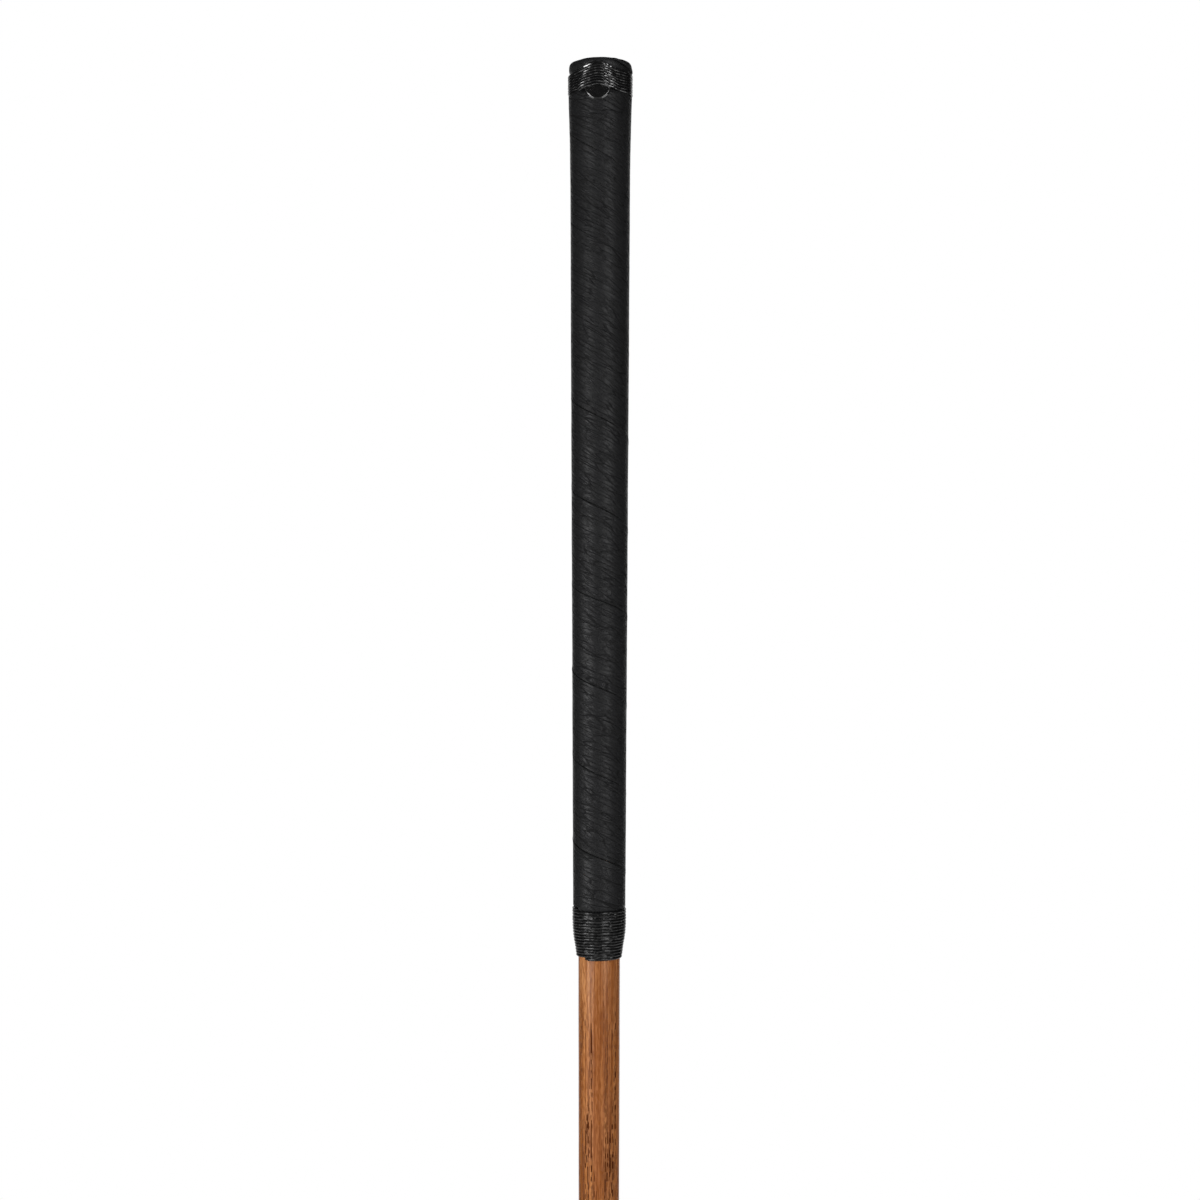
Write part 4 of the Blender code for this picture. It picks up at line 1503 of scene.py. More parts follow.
@dataclass
class ButtCap:
    """Leather drawn over the butt: a low dome, a soft shoulder, a lapped fold and a bound skirt."""

    lines: ClubLines
    sides: int = 256
    ring_gap: float = 0.00018
    hollow: float = 0.0012
    middle: float = 0.0010
    still: float = 0.0002
    shoulder: float = 0.0108
    shoulder_drop: float = 0.0025
    slide_drop: float = 0.0022
    slide_reach: float = 0.0028
    steep_from: float = 0.0090
    steep_reach: float = 0.0025
    sag: float = 0.00008
    fold: float = 0.00060
    fold_width: float = 0.0016
    fold_start: float = math.radians(-66)
    fold_end: float = math.radians(14)
    fold_taper: float = 0.15
    fold_high: float = 0.1643
    fold_low: float = 0.1602
    seam_sink: float = 0.00016
    seam_radius: float = 0.0071
    seam_width: float = 0.00028
    fallen: float = 0.00036
    fallen_x: float = -0.0082
    fallen_width: float = 0.0024

    def profile(self) -> list[tuple[float, float]]:
        """Rings from the middle of the dome down to the waist, closely spaced over the shoulder."""
        rings = []
        for start, end in zip(self.lines.dome, self.lines.dome[1:]):
            steps = max(1, round(math.dist(start, end) / self.ring_gap))
            rings += [
                (mix(start[0], end[0], i / steps), self.lines.crown_z - mix(start[1], end[1], i / steps))
                for i in range(steps)
            ]
        return rings

    def build(self, look: bpy.types.Material) -> None:
        """Turn the cap from its middle over the shoulder to the skirt, and back up inside.

        Args:
            look: Its material.
        """
        lines = self.lines
        waist = lines.top_thread() - lines.thread
        inside = lines.leather_inside(lines.cap_join_z)
        hem = lines.cap_join_z + lines.clearance
        ceiling = lines.shaft_top_z + lines.clearance / 2
        skirt = [
            (waist, lines.crown_z - lines.dome[-1][1]), (waist, hem), (inside, hem),
            (inside, ceiling - self.hollow), (inside - self.hollow, ceiling), (self.middle, ceiling),
        ]
        cap = Bench.turned("butt_leather", [*self.profile(), *skirt], self.sides)
        Bench.lay(cap, self.drape)
        Bench.finish(cap, look, Slot.LEATHER, "butt_cap", sharp=50)

    def drape(self, point: Vector) -> Vector:
        """Sink and swell the dome and the shoulder as worked leather is.

        Args:
            point: A point of the turned cap.

        Returns:
            Its place.
        """
        lines = self.lines
        radius = math.hypot(point.x, point.y)
        if radius < self.still or (radius < self.shoulder and point.z < lines.crown_z - self.shoulder_drop):
            return point
        azimuth = math.atan2(point.y, point.x)
        bowed = lines.bowed(azimuth)
        slid = bowed * smooth((lines.crown_z - self.slide_drop - point.z) / self.slide_reach)
        point = point + Vector((0, 0, slid))
        if point.z < lines.top_start_z + bowed:
            return point
        steep = smooth((radius - self.steep_from) / self.steep_reach)
        outward = Vector((point.x, point.y, 0)).normalized()
        normal = (outward * steep + Vector((0, 0, 1 - steep))).normalized()
        move = self.sag * lump(point.x * 380, point.y * 380, 4.0) + self.lapped(azimuth, point.z)
        move -= self.fallen * hump(point.x - self.fallen_x, self.fallen_width)
        move -= self.seam_sink * hump(radius - self.seam_radius, self.seam_width)
        return point + normal * move

    def lapped(self, azimuth: float, z: float) -> float:
        """Rise of the strip's first edge, which is folded over the right shoulder.

        Args:
            azimuth: The angle it is taken at.
            z: The height it is taken at.

        Returns:
            The rise.
        """
        if not self.fold_start < azimuth < self.fold_end:
            return 0.0
        begun, left = azimuth - self.fold_start, self.fold_end - azimuth
        past = z - mix(self.fold_high, self.fold_low, begun / (begun + left))
        ends = smooth(begun / self.fold_taper) * smooth(left / self.fold_taper)
        ridge = smooth(past / 0.0003) * smooth((self.fold_width - past) / 0.0004)
        groove = hump(past, 0.00030) + hump(past - self.fold_width, 0.00032)
        return ends * self.fold * (0.7 * ridge - 1.5 * groove)


@dataclass
class FlatTack:
    """A tack with a thin head, driven square to the shaft.

    The head is drawn in by steps of (share of the rim's width, share of its thickness, share of the rim's
    rise), spread flat, and its back and shank are drawn out of its edge.
    """

    name: str
    azimuth: float
    z: float
    seat: float
    head: float
    thickness: float
    rim: float
    rim_width: float
    shank: float
    length: float
    bend_radius: float
    sides: int = 64
    flats: int = 5
    rim_steps: tuple[Triple, ...] = (
        (0.30, 0.55, 0.0), (0.25, 0.30, 0.60), (0.20, 0.0, 0.35), (0.25, 0.0, -0.35), (0.35, 0.0, -0.60),
    )
    point_steps: tuple[tuple[float, float], ...] = ((0.96, 0.60), (0.45, 0.28), (0.10, 0.11))
    press_reach: float = 0.0008
    press_depth: float = 0.00005

    def build(self, look: bpy.types.Material, slot: Slot, node: str) -> None:
        """Spread the head from a disc, round its rim, then draw the shank out of its back to the point.

        Args:
            look: Its material.
            slot: The record's slot.
            node: The solid that it stands for.
        """
        tack = Bench.disc(self.name, self.sides, self.head)
        with Bench.opened(tack):
            bpy.ops.mesh.select_mode(type="FACE")
            for width, thick, rise in self.rim_steps:
                self.draw_in(self.rim_width * width, self.thickness * thick + self.rim * rise)
            drawn = self.rim_width * sum(width for width, _thick, _rise in self.rim_steps)
            for _ in range(self.flats):
                self.draw_in((self.head - drawn) / (self.flats + 1), 0)
        Bench.choose(tack, lambda ends: all(end.xy.length > self.head * 0.999 for end in ends))
        with Bench.opened(tack, whole=False):
            before = 1.0
            for share, drop in ((0.985, 0.12), (0.5, 0.0), (self.shank / self.head, 0.0)):
                Bench.draw_out(-drop * self.thickness, share / before)
                before = share
            for scale, drop in self.point_steps:
                Bench.draw_out(-drop * self.length, scale)
        Bench.tidy(tack)
        Bench.lay(tack, self.bend)
        Bench.finish(tack, look, slot, node, sharp=60)

    @staticmethod
    def draw_in(inset: float, rise: float) -> None:
        """Inset the selected face and lift it."""
        bpy.ops.mesh.inset(thickness=inset, depth=0)
        bpy.ops.transform.translate(value=(0, 0, rise))

    def bend(self, point: Vector) -> Vector:
        """Seat the tack on the grip and bend its head to it.

        Args:
            point: A point of the flat tack. X runs round the grip, Y up and Z outwards.

        Returns:
            Its place on the club.
        """
        outward = polar(1, self.azimuth, 0)
        across = Vector((-outward.y, outward.x, 0))
        fallen = point.x ** 2 / 2 / self.bend_radius if point.z > -self.thickness else 0.0
        return outward * (self.seat + point.z - fallen) + across * point.x + Vector((0, 0, self.z + point.y))

    def reach(self, azimuth: float, height: float) -> float:
        """Distance from the shaft's axis to a level of the head.

        Args:
            azimuth: Where it is taken.
            height: Of the level over the head's back.

        Returns:
            The distance, 0 away from the head.
        """
        off = math.remainder(azimuth - self.azimuth, TURN)
        if math.cos(off) < 0.5:
            return 0.0
        across = self.seat * math.tan(off)
        return (self.seat + height - across ** 2 / 2 / self.bend_radius) / math.cos(off)

    def beyond(self, azimuth: float, z: float) -> float:
        """Distance of a place from the head's rim along the grip, negative inside it."""
        around = math.remainder(azimuth - self.azimuth, TURN) * self.seat
        return math.hypot(around, z - self.z) - self.head

    def press(self, azimuth: float, z: float, radius: float) -> float:
        """Press the leather down under the head.

        Args:
            azimuth: Angle of a point of the leather.
            z: Its height.
            radius: Its radius.

        Returns:
            The radius that the head leaves it.
        """
        under = 1 - smooth(self.beyond(azimuth, z) / self.press_reach)
        back = self.reach(azimuth, -self.press_depth)
        return min(radius, mix(radius, back, under)) if under > 0 and back > 0 else radius


class Band(Enum):
    """The two thread bindings."""

    TOP = "top"
    LOW = "low"


@dataclass
class Binding:
    """A close winding of pitched thread, with the pitch that fills it."""

    lines: ClubLines
    band: Band
    tack: FlatTack
    knot_at_end: bool
    steps: int = 72
    sides: int = 12
    stray: float = 0.00010
    swell: float = 0.00003
    knot: float = 0.55
    knot_length: float = 0.0009
    climb: float = 0.84
    climb_bend: float = 0.45
    climb_start: float = 0.0004
    climb_blend: float = 0.0026
    sleeve_steps: int = 256
    sleeve_row: float = 0.00026
    sleeve_depth: float = 0.55
    margin: float = 0.0002
    ragged: float = 0.00013
    fill: float = 0.42
    film: float = 0.00034
    skin: float = 0.00003
    crown: float = 0.0022
    crown_spread: float = 0.62
    on_cap: float = 0.00018
    on_cap_lumps: float = 0.00016
    bare: float = 0.12

    @property
    def course(self) -> Winding:
        """Where the thread runs."""
        return self.lines.top_winding if self.band is Band.TOP else self.lines.low_winding

    def bowed(self, azimuth: float) -> float:
        """How far the turns have slid up over the tack's head."""
        return self.lines.bowed(azimuth) if self.band is Band.TOP else 0.0

    def thick(self, z: float) -> float:
        """Thickness of the thread from the shaft outwards at a height."""
        return self.lines.pressed(z) if self.band is Band.LOW else self.lines.thread

    def outside(self, azimuth: float, z: float) -> float:
        """Radius over the thread, which climbs the upper tack's head.

        Args:
            azimuth: The angle it is taken at.
            z: The height it is taken at.

        Returns:
            The radius.
        """
        if self.band is Band.LOW:
            return self.lines.low_thread(z)
        free = self.lines.top_thread()
        face = self.tack.thickness + self.tack.rim
        over = mix(self.tack.seat + face, self.tack.reach(azimuth, face), self.climb_bend)
        over += self.lines.thread * self.climb
        lifted = smooth(1 - (self.tack.beyond(azimuth, z) - self.climb_start) / self.climb_blend)
        return mix(free, max(free, over), lifted)

    def middle(self, share: float) -> Vector:
        """Place of the thread's middle.

        Args:
            share: How far along its length.

        Returns:
            The place.
        """
        azimuth, z = self.course.azimuth(share), self.course.level(share)
        turns = self.course.turns
        held = smooth(share * turns) * smooth((1 - share) * turns * 1.5)
        uneven = lump(math.cos(azimuth) * 1.7, math.sin(azimuth) * 1.7, z * 900)
        uneven += 0.6 * lump(azimuth * 0.55, 8.0, 1.0)
        z += self.stray * held * uneven + self.bowed(azimuth)
        radius = self.outside(azimuth, z) - self.thick(z) / 2
        radius += self.swell * held * lump(azimuth * 1.9, z * 1200, 5.0)
        return polar(radius, azimuth, z)

    def wind(self, point: Vector) -> Vector:
        """Roll a point into the thread and wind it on.

        Args:
            point: A point of the flat sheet. X runs along the thread and Y round it.

        Returns:
            Its place on the club.
        """
        turns = self.course.turns
        nudge = 0.2 / self.steps / turns
        ahead = (self.middle(min(point.x + nudge, 1)) - self.middle(max(point.x - nudge, 0))).normalized()
        centre = self.middle(point.x)
        up = ahead.cross(Vector((centre.x, centre.y, 0)).normalized()).normalized()
        out = up.cross(ahead)
        angle = -TURN * point.y
        to_end = min(point.x, 1 - point.x) * turns
        from_end = to_end * TURN * self.lines.lower_radius / self.knot_length
        knotted = (point.x > 0.5) == self.knot_at_end
        radius = self.lines.thread / 2 * mix(0.35, 1.0, smooth(to_end * 30))
        radius *= 1 + 0.05 * lump(point.x * turns * 6, math.cos(angle), math.sin(angle))
        radius *= 1 + knotted * self.knot * hump(from_end - 0.8, 1)
        flat = self.thick(centre.z) / self.lines.thread
        return centre + (out * math.cos(angle) * flat + up * math.sin(angle)) * radius

    def build(self, look: bpy.types.Material, pitch: bpy.types.Material) -> None:
        """Roll a sheet into the thread, wind it on, and run pitch between its turns.

        Args:
            look: Material of the thread.
            pitch: Material of the pitch.
        """
        thread = Bench.sheet(self.band.value + "_thread", round(self.course.turns * self.steps), self.sides)
        length = TURN * self.lines.top_thread() * self.course.turns
        Bench.chart(thread, "thread", lambda point: (point.x * length, point.y * self.lines.thread * math.pi))
        Bench.lay(thread, self.wind)
        Bench.tidy(thread)
        node = "top_whipping" if self.band is Band.TOP else "bottom_whipping"
        Bench.finish(thread, look, Slot.THREAD, node, sharp=70)
        rows = round((self.course.start_z - self.course.end_z) / self.sleeve_row)
        sleeve = Bench.sheet(self.band.value + "_pitch", self.sleeve_steps, rows)
        Bench.use(sleeve, "SOLIDIFY", thickness=0.1, offset=-1.0)
        Bench.lay(sleeve, self.spread)
        Bench.tidy(sleeve, fill=False)
        Bench.finish(sleeve, pitch, Slot.THREAD, sharp=60)

    def crowned(self, azimuth: float) -> float:
        """How far the pitch has been dabbed up the cap over the tack."""
        off = math.remainder(azimuth - self.tack.azimuth, TURN) / self.crown_spread
        ragged = 0.55 + 0.45 * lump(math.cos(azimuth) * 9, math.sin(azimuth) * 9, 2.0)
        return self.crown * math.exp(-off ** 4) * ragged * (self.band is Band.TOP)

    def spread(self, point: Vector) -> Vector:
        """Spread a point of the pitch between the turns, and let it run unevenly.

        Args:
            point: A point of the flat sleeve. X runs round, Y up and -Z inwards.

        Returns:
            Its place on the club.
        """
        azimuth = TURN * point.x
        around, side = math.cos(azimuth), math.sin(azimuth)
        first, bowed = self.course.highest(azimuth), self.bowed(azimuth)
        start = first + self.margin + self.crowned(azimuth)
        end = self.course.lowest(azimuth) - self.margin + self.ragged * lump(around * 7, side * 7, 7.0)
        z = mix(end, start, point.y) + bowed
        edge = smooth(min(1 - point.y, point.y) * (start - end) / 0.0005)
        run = lump(around * 3.4, side * 3.4, z * 520)
        fine = lump(around * 7, side * 7, z * 800)
        drops = self.film * smooth((run - self.bare) / 0.30) + self.skin * fine
        smear = self.on_cap + self.on_cap_lumps * (run + 0.6 * fine)
        between = self.outside(azimuth, z) - self.lines.thread * self.fill + edge * drops
        over_cap = smooth((z - first - bowed) / 0.0006) * (self.band is Band.TOP)
        outer = mix(between, self.lines.cap_outside(z - bowed * 0.4) + edge * smear, over_cap)
        return polar(outer if point.z > -0.05 else outer - self.lines.thread * self.sleeve_depth, azimuth, z)


@dataclass
class Head:
    """Forged blade: nicked hosel, bent neck, lofted face, round toe and the hole for the rivet."""

    lines: ClubLines
    hosel_height: float = 0.105
    wall: float = 0.0009
    rim: float = 0.0003
    neck: float = 0.0061
    bend: float = 0.0155
    spine: float = 0.0125
    toe_reach: float = 0.098
    heel_depth: float = 0.0215
    toe_depth: float = 0.0250
    sole_width: float = 0.0072
    top_width: float = 0.0046
    leading_edge: float = 0.0032
    edge: float = 0.0009
    toe_top: float = 0.0115
    toe_sole: float = 0.0080
    lie: float = math.radians(71)
    loft: float = math.radians(4.5)
    around: int = 288
    nicks: int = 24
    nick_share: float = 0.24
    nick_depth: float = 0.00050
    nick_length: float = 0.0026
    rim_steps: int = 6
    nick_steps: int = 12
    hosel_steps: int = 28
    neck_steps: int = 40
    blade_steps: int = 30
    toe_steps: int = 24
    toe_ends: tuple[float, ...] = (0.4, 0.25, 0.12, 0.0)
    hammered: float = 0.00007
    flat_share: float = 0.5
    pin_radius: float = 0.00125
    pin_drop: float = 0.022
    pin_gap: float = 0.00005
    pin_dome: tuple[tuple[float, float], ...] = (
        (0.02, 0.00016), (0.30, 0.00015), (0.60, 0.00011), (0.85, 0.00004), (1.0, -0.00006),
    )

    @property
    def tilt(self) -> float:
        """Lean of the sole from square to the shaft."""
        return math.pi / 2 - self.lie

    @property
    def sole_z(self) -> float:
        """Height at which the shaft's axis meets the sole."""
        return self.lines.mouth_z - self.hosel_height

    @property
    def outside(self) -> float:
        """Radius of the hosel at its mouth."""
        return self.lines.mouth_radius + self.lines.clearance + self.wall

    @property
    def bend_z(self) -> float:
        """Height at which the neck begins to bend."""
        return self.sole_z + self.spine / math.cos(self.tilt) + self.bend * math.tan(self.lie / 2)

    @property
    def blade_start(self) -> float:
        """Distance towards the toe at which the bend ends and the blade begins."""
        return self.bend * math.tan(self.lie / 2) - self.spine * math.tan(self.tilt)

    @property
    def pin_z(self) -> float:
        """Height of the rivet."""
        return self.lines.mouth_z - self.pin_drop

    def hosel(self, z: float) -> float:
        """Radius of the hosel at a height."""
        return mix(self.neck, self.outside, (z - self.bend_z) / (self.lines.mouth_z - self.bend_z))

    def face(self, height: float) -> float:
        """Place of the striking face before the shaft's axis, at a height over the sole."""
        return self.leading_edge - height * math.tan(self.loft)

    def back(self, height: float) -> float:
        """Place of the blade's back before the shaft's axis, at a height over the sole."""
        return self.face(height) - mix(self.sole_width, self.top_width, height / self.toe_depth)

    def section(self, middle: Vector, up: Vector, low: float, high: float, corner: float, width: float,
                front: Place, back: Place, arc: float) -> list[Vector]:
        """Draw one section: an upright rectangle with round corners, leaned and tapered.

        Args:
            middle: Where its heights are taken from.
            up: Direction of its heights.
            low: Height of its lower side.
            high: Height of its upper side.
            corner: Radius of its corners.
            width: Nominal width that the corners are drawn for.
            front: Place of its front at a height.
            back: Place of its back at a height.
            arc: Share of its points that lie in the corners.

        Returns:
            The points round it, from the middle of the front over the top.
        """
        half = width / 2
        straight = (1 - arc) / 2
        points = []
        for i in range(self.around):
            part, along = divmod(4 * i / self.around, 1)
            angle = math.pi / 2 * (part + clamp((along - straight) / arc))
            side = 1 if part in (0, 3) else -1
            share = (side * (half - corner) + corner * math.cos(angle)) / half
            height = (high - corner if part < 2 else low + corner) + corner * math.sin(angle)
            before = clamp(1 - along / straight) if straight > 0 else 0.0
            after = clamp((along - 1 + straight) / straight) if straight > 0 else 0.0
            upright, level = (before, after) if part in (0, 2) else (after, before)
            height = mix(height, (low + high) / 2, upright)
            share = mix(share, 0.0, level)
            before_axis = mix(back(height), front(height), (share + 1) / 2)
            points.append(middle + up * height - Vector((0, before_axis, 0)))
        return points

    def collar(self, z: float, radius: float, cut: float = 0.0) -> list[Vector]:
        """Draw a round section of the hosel or its socket.

        Args:
            z: Its height.
            radius: Its radius.
            cut: Share of their full depth that the rim's nicks have there.

        Returns:
            The points round it.
        """
        points = self.section(
            Vector((0, 0, z)), Vector((-1, 0, 0)), -radius, radius, radius, radius * 2,
            lambda _height: radius, lambda _height: -radius, 1.0,
        )
        for i, point in enumerate(points):
            off = abs(math.remainder(i * self.nicks / self.around, 1.0))
            point.xy *= 1 - cut * self.nick_depth * clamp(1 - off / self.nick_share) / radius
        return points

    def neck_section(self, share: float) -> list[Vector]:
        """Draw a section of the bend.

        Args:
            share: How far round it, from the round neck at 0 to the full blade at 1.

        Returns:
            The points round it.
        """
        turn = self.lie * share
        blend = smooth(share)
        up = Vector((-math.cos(turn), 0, math.sin(turn)))
        return self.section(
            Vector((-self.bend, 0, self.bend_z)) - up * self.bend, up,
            mix(-self.neck, -self.spine, blend), mix(self.neck, self.heel_depth - self.spine, blend),
            mix(self.neck, self.edge, blend), mix(self.neck * 2, self.sole_width, blend),
            lambda height: mix(self.neck, self.face(height + self.spine), blend),
            lambda height: mix(-self.neck, self.back(height + self.spine), blend),
            mix(1.0, self.flat_share, blend),
        )

    @staticmethod
    def drawn_in(to_end: float, radius: float) -> float:
        """How far a round corner of a radius has drawn in, at a distance before the end."""
        return 0.0 if to_end >= radius else radius - math.sqrt(radius ** 2 - (radius - to_end) ** 2)

    def blade_section(self, reach: float) -> list[Vector]:
        """Draw a section of the blade.

        Args:
            reach: Its distance towards the toe from the foot of the shaft's axis.

        Returns:
            The points round it.
        """
        to_end = self.toe_reach - reach
        depth = mix(self.heel_depth, self.toe_depth, 1 - to_end / (self.toe_reach - self.blade_start))
        rounded = self.drawn_in(to_end, self.edge)
        low, high = self.drawn_in(to_end, self.toe_sole), depth - self.drawn_in(to_end, self.toe_top)
        toeward = Vector((-math.cos(self.tilt), 0, -math.sin(self.tilt)))
        up = Vector((-math.sin(self.tilt), 0, math.cos(self.tilt)))
        return self.section(
            Vector((0, 0, self.sole_z)) + toeward * reach + up * self.spine, up, low - self.spine,
            high - self.spine, self.edge, self.sole_width,
            lambda height: self.face(height + self.spine) - rounded,
            lambda height: self.back(height + self.spine) + rounded, self.flat_share,
        )

    def sections(self) -> list[list[Vector]]:
        """Draw every section: up the socket, over the rim, down the hosel, round the neck, along the blade.

        Returns:
            The points round each.
        """
        mouth, floor_z = self.lines.mouth_z, self.lines.mouth_z - self.lines.socket_depth
        floor = self.lines.tip_radius + self.lines.clearance
        top = mouth - self.nick_length
        full = self.toe_reach - self.toe_top
        rings = [
            self.collar(floor_z - floor / 2, floor / 8), self.collar(floor_z, floor),
            self.collar(mouth, self.lines.mouth_radius + self.lines.clearance),
        ]
        for sine, cosine in quarter(self.rim_steps):
            radius = self.outside - self.rim * (1 - sine)
            rings.append(self.collar(mouth - self.rim * (1 - cosine), radius, 1.0))
        levels = [(mix(mouth - self.rim, top, i / self.nick_steps), i / self.nick_steps)
                  for i in range(1, self.nick_steps + 1)]
        levels += [(mix(top, self.bend_z, i / self.hosel_steps), 1.0) for i in range(1, self.hosel_steps)]
        rings += [self.collar(z, self.hosel(z), 1 - past) for z, past in levels]
        rings += [self.neck_section(i / self.neck_steps) for i in range(self.neck_steps + 1)]
        reaches = [mix(self.blade_start, full, i / self.blade_steps) for i in range(1, self.blade_steps + 1)]
        reaches += [full + self.toe_top * sine for sine, _cosine in list(quarter(self.toe_steps))[1:-2]]
        reaches += [self.toe_reach - self.edge * share * share for share in self.toe_ends]
        return rings + [self.blade_section(reach) for reach in reaches]

    def hammer(self, point: Vector) -> Vector:
        """Leave the smith's faint flats on the back, the hosel and the neck, but none on the filed face.

        Args:
            point: A point of the head.

        Returns:
            Its place.
        """
        on_face = point.y < -0.0005 and point.z < self.bend_z - self.bend * 0.6
        if on_face or point.z > self.lines.mouth_z - 0.004:
            return point
        away = Vector((0, 1, 0)) if point.z < self.bend_z else Vector((point.x, point.y, 0)).normalized()
        return point + away * self.hammered * lump(point.x * 210, point.y * 60, point.z * 210)

    def build(self, steel: bpy.types.Material, rivet: bpy.types.Material) -> None:
        """Forge the head, drill it and set the rivet.

        Args:
            steel: Material of the head.
            rivet: Material of the rivet.
        """
        rings = self.sections()
        last, around = len(rings) - 1, self.around
        head = Bench.sheet("forged_head", last, around)
        Bench.lay(head, lambda point: rings[round(point.x * last)][round(point.y * around) % around])
        Bench.tidy(head)
        Bench.lay(head, self.hammer)
        Bench.drill(head, self.pin_z, self.pin_radius + self.pin_gap, self.outside * 3)
        Bench.finish(head, steel, Slot.STEEL, "putter_head", sharp=32)
        self.set_rivet(rivet)

    def set_rivet(self, look: bpy.types.Material) -> None:
        """Turn the rivet, peen both ends to low domes, and lay it through the hosel from face to back.

        Args:
            look: Its material.
        """
        edge = math.sqrt(self.hosel(self.pin_z) ** 2 - self.pin_radius ** 2) + 0.00004
        front = [(share * self.pin_radius, edge + rise) for share, rise in self.pin_dome]
        rivet = Bench.turned("hosel_rivet", front + [(radius, -z) for radius, z in reversed(front)], 48)
        with Bench.opened(rivet):
            bpy.ops.transform.rotate(value=math.pi / 2, orient_axis="X", center_override=(0, 0, 0))
            bpy.ops.transform.translate(value=(0, 0, self.pin_z))
        Bench.finish(rivet, look, Slot.RIVET, "hosel_pin", sharp=40)


@dataclass(frozen=True)
class Softbox:
    """One lamp: its angle to the right of the camera, its height, distance, size and watts."""

    name: str
    azimuth: float
    z: float
    distance: float
    size: tuple[float, float]
    power: float
    mirrored: bool = True
    aim_z: float | None = None

    def build(self) -> None:
        """Hang the lamp so that it faces the shaft, level unless it aims at a height of its own."""
        data = bpy.data.lights.new(self.name, "AREA")
        data.shape = "RECTANGLE"
        data.size, data.size_y = self.size
        data.energy = self.power
        lamp = bpy.data.objects.new(self.name, data)
        bpy.context.scene.collection.objects.link(lamp)
        angle = math.radians(self.azimuth)
        lean = 0.0 if self.aim_z is None else math.atan2(self.z - self.aim_z, self.distance)
        lamp.location = (self.distance * math.sin(angle), -self.distance * math.cos(angle), self.z)
        lamp.rotation_euler = (math.pi / 2 - lean, 0, angle)
        lamp.visible_camera = False
        lamp.visible_glossy = self.mirrored


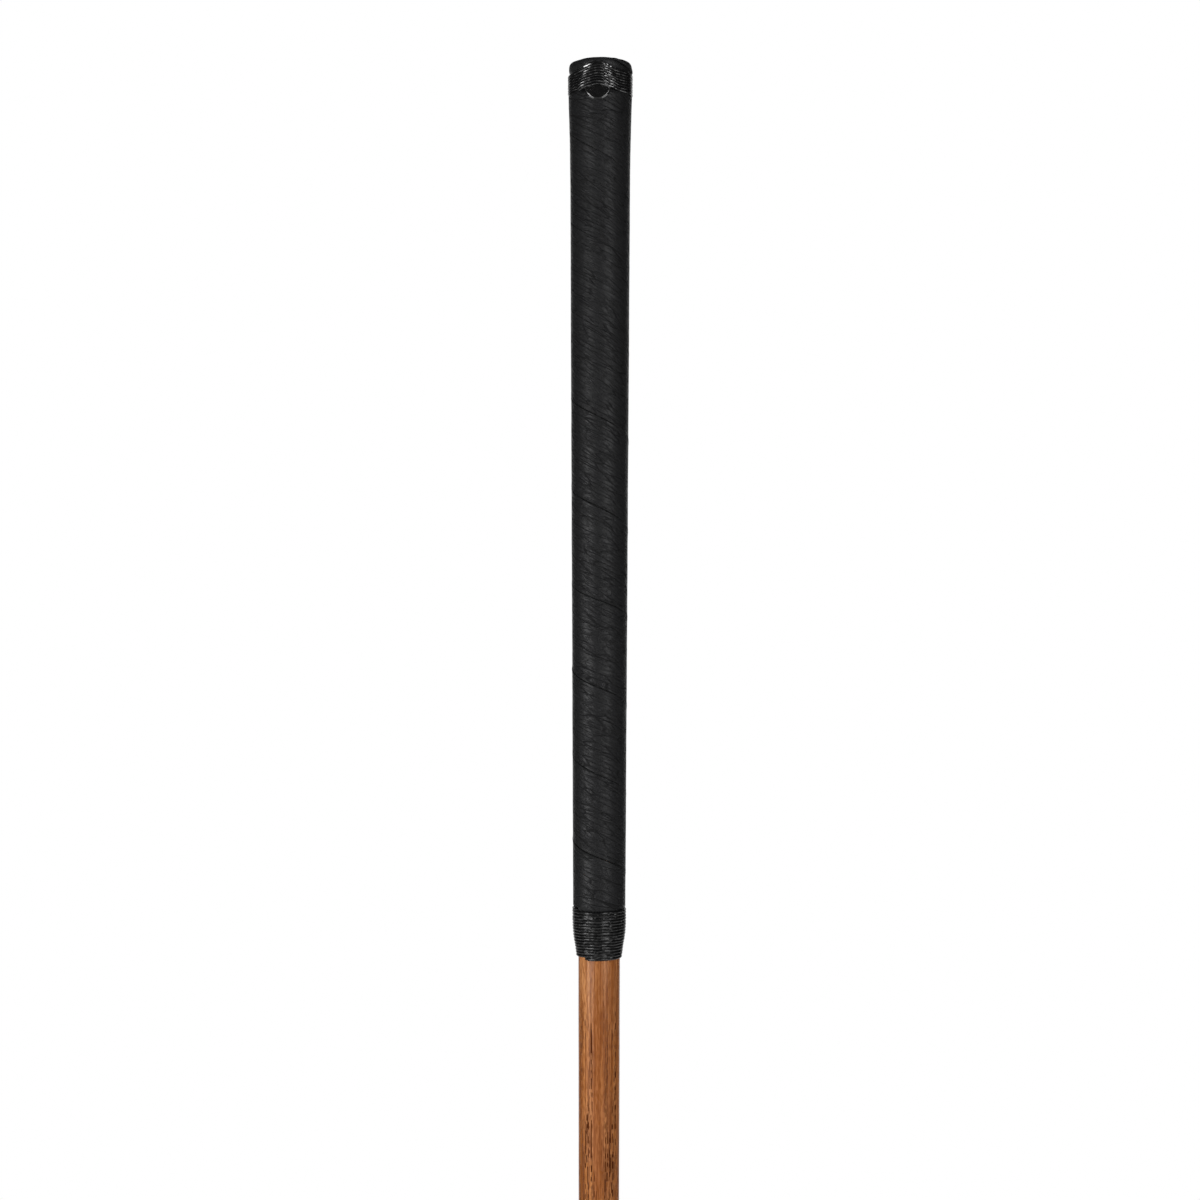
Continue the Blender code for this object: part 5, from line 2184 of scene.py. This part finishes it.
@dataclass
class Studio:
    """Floor, lamps, surroundings and camera."""

    floor_z: float
    camera_x: float = 0.00013
    camera_z: float = -0.0340
    camera_distance: float = 0.770
    lens: float = 62.1
    roll: float = math.radians(-0.075)
    fill: float = 0.24
    fill_color: Color = (1.0, 0.99, 0.98)
    mirrored_fill: float = 0.05
    screen_edge: tuple[float, float] = (0.74, 0.94)
    floor_radius: float = 1.35
    paper_color: Color = (0.92, 0.92, 0.91)
    paper_cloud: Color = (0.7, 0.7, 0.7)
    paper_light: float = 0.5
    paper_start: float = 0.12
    paper_end: float = 1.15
    lamps: tuple[Softbox, ...] = (
        Softbox("softbox_left", -50, -0.16, 1.5, (1.10, 0.56), 17.0),
        Softbox("softbox_high", -36, 0.42, 1.5, (0.60, 0.44), 0.7),
        Softbox("softbox_right", 32, 0.10, 1.5, (0.95, 1.05), 13.5),
        Softbox("overhead", 30, 1.15, 0.75, (0.22, 0.18), 1.4, aim_z=0.15),
        Softbox("screen_behind", 180, 0.0, 2.6, (3.4, 2.6), 22, mirrored=False),
    )

    def paper(self) -> bpy.types.Material:
        """Material of the floor: it keeps the shadow and turns to plain white further out.

        Returns:
            The material.
        """
        look = Look("pale_floor")
        cloud = look.place.noise(3.0, 3.0).ranged(0.3, 0.7, 0.0, 0.02)
        color = tint(cloud, self.paper_color, self.paper_cloud)
        look.dressed(Base_Color=color, Roughness=0.9, Specular_IOR_Level=0.1)
        level = look.place.scaled((1, 1, 0))
        away = level.on("VectorMath", {0: level}, "Value", operation="LENGTH")
        camera, mirrored, clear = (self.ray(look.tree, kind) for kind in ("Camera", "Glossy", "Transmission"))
        seen = camera.or_more(mirrored).or_more(clear)
        share = seen * away.ranged(self.paper_start, self.paper_end, self.paper_light, 1.0)
        white = add_node(look.tree, "Emission", {"Strength": 1.0})
        shader = Wire(look.tree.nodes["Principled BSDF"].outputs[0])
        out = shader.on("MixShader", {0: share, 1: shader, 2: Wire(white.outputs[0])})
        feed(look.tree.nodes["Material Output"], {"Surface": out})
        return look.material

    @staticmethod
    def ray(tree: bpy.types.NodeTree, kind: str) -> Wire:
        """Mask of one kind of light ray, in a tree."""
        return Wire(add_node(tree, "LightPath", {}).outputs["Is " + kind + " Ray"])

    def build_floor(self) -> None:
        """Lay a round pale floor under the toe."""
        floor = Bench.disc("floor", 96, self.floor_radius, z=self.floor_z)
        floor.data.materials.append(self.paper())

    def build_surroundings(self) -> None:
        """Set a soft pale room that reads white where the camera or a reflection sees it."""
        world = bpy.data.worlds.new("room")
        bpy.context.scene.world = world
        world.use_nodes = True
        tree = world.node_tree
        around = Wire(add_node(tree, "TexCoord", {}).outputs["Generated"]).axis("Y")
        mirrored = self.ray(tree, "Glossy").or_more(self.ray(tree, "Transmission"))
        strength = (1.0 - mirrored * (1.0 - self.mirrored_fill)) * self.fill
        fill = tree.nodes["Background"]
        feed(fill, {"Color": self.fill_color, "Strength": strength})
        white = add_node(tree, "Background", {"Color": (1.0, 1.0, 1.0), "Strength": 1.0})
        room = Wire(fill.outputs[0])
        seen = self.ray(tree, "Camera").or_more(mirrored * around.ranged(*self.screen_edge))
        shown = room.on("MixShader", {0: seen, 1: room, 2: Wire(white.outputs[0])})
        feed(tree.nodes["World Output"], {"Surface": shown})

    def build_camera(self) -> None:
        """Place the camera level before the grip."""
        data = bpy.data.cameras.new("camera")
        data.lens = self.lens
        data.sensor_width = 36
        data.clip_start = 0.01
        data.clip_end = 50
        camera = bpy.data.objects.new("camera", data)
        bpy.context.scene.collection.objects.link(camera)
        camera.location = (self.camera_x, -self.camera_distance, self.camera_z)
        camera.rotation_euler = (math.pi / 2, self.roll, 0)
        bpy.context.scene.camera = camera

    def build(self) -> None:
        """Set the whole scene round the club."""
        bpy.context.scene.view_settings.view_transform = "Standard"
        self.build_floor()
        self.build_surroundings()
        for lamp in self.lamps:
            lamp.build()
        self.build_camera()


SEAMS = (
    0.1402, 0.1213, 0.1068, 0.0890, 0.0748, 0.0566, 0.0414, 0.0246, 0.0079,
    -0.0085, -0.0274, -0.0409, -0.0593, -0.0732, -0.0910, -0.1056, -0.1223, -0.1350,
)


def build_grip(lines: ClubLines) -> None:
    """Wind, cap, nail and bind the grip.

    Args:
        lines: The club's lines.
    """
    Listing(
        lines, name="listing", pitch=0.036, seam=0.0006, seam_heights=(0.0515, 0.0335),
        top=lines.shaft_top_z - 0.0017, bottom=lines.grip_end_z + lines.listing_stop, steps=64, columns=18,
        thickness=0.0010, pare=0.00012,
    ).build(ClothFinish().build())
    front = FlatTack(
        name="broad_tack", azimuth=lines.bow_azimuth, z=lines.crown_z - 0.0118, seat=0.01150, head=0.0052,
        thickness=0.00042, rim=0.00024, rim_width=0.0007, shank=0.0009, length=0.0095, bend_radius=0.032,
    )
    LeatherStrip(
        lines, name="calf_strip", pitch=0.03255, seam=0.00012, seam_heights=SEAMS, top=lines.cap_join_z,
        bottom=lines.leather_end_z, steps=120, columns=34, thickness=0.0012, pare=0.00042, tack=front,
    ).build(LeatherFinish().build())
    ButtCap(lines).build(LeatherFinish(name="cap_calf", charted=False, across=420, pad_depth=0.00006).build())
    front.build(JapanFinish().build(), Slot.JAPAN, "grip_tack")
    low_z = lines.low_start_z - 0.0052
    flush = lines.low_thread(low_z) - lines.thread
    tail = FlatTack(
        name="tail_tack", azimuth=math.radians(80), z=low_z, seat=flush - 0.0004, head=0.0022,
        thickness=0.0003, rim=0.0, rim_width=0.0004, shank=0.0006, length=0.0065, bend_radius=flush, sides=32,
    )
    blued = JapanFinish(name="blued_tack", worn=(0.05, 0.045, 0.04), roughness=0.3)
    tail.build(blued.build(), Slot.TACK, "lower_tack")
    top = Binding(lines, Band.TOP, front, knot_at_end=True, fill=0.70, film=0.00046, bare=0.30)
    top.build(ThreadFinish().build(), PitchFinish().build())
    worn = {"roughness": 0.20, "dull": 0.40, "shine": 0.14, "film": WetFilm(0.26, 0.20, left=0.0)}
    rubbed_linen = ThreadFinish(name="rubbed_linen", ply_depth=0.00005, lump_depth=0.00014, **worn)
    rubbed_pitch = PitchFinish(name="rubbed_pitch", lump_depth=0.00012, **worn)
    Binding(lines, Band.LOW, tail, knot_at_end=False).build(rubbed_linen.build(), rubbed_pitch.build())


def main() -> None:
    """Build the club's pieces in order, then the scene round them."""
    logging.basicConfig(level=logging.INFO, format="%(message)s")
    lines = ClubLines()
    Shaft(lines).build(HickoryFinish().build())
    build_grip(lines)
    rivet = SteelFinish(name="rivet_look", across=900.0, along=900.0, roughness=0.34).build()
    Head(lines).build(SteelFinish().build(), rivet)
    Studio(floor_z=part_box("putter_head")[0].z - 0.0002).build()


if __name__ == "__main__":
    main()
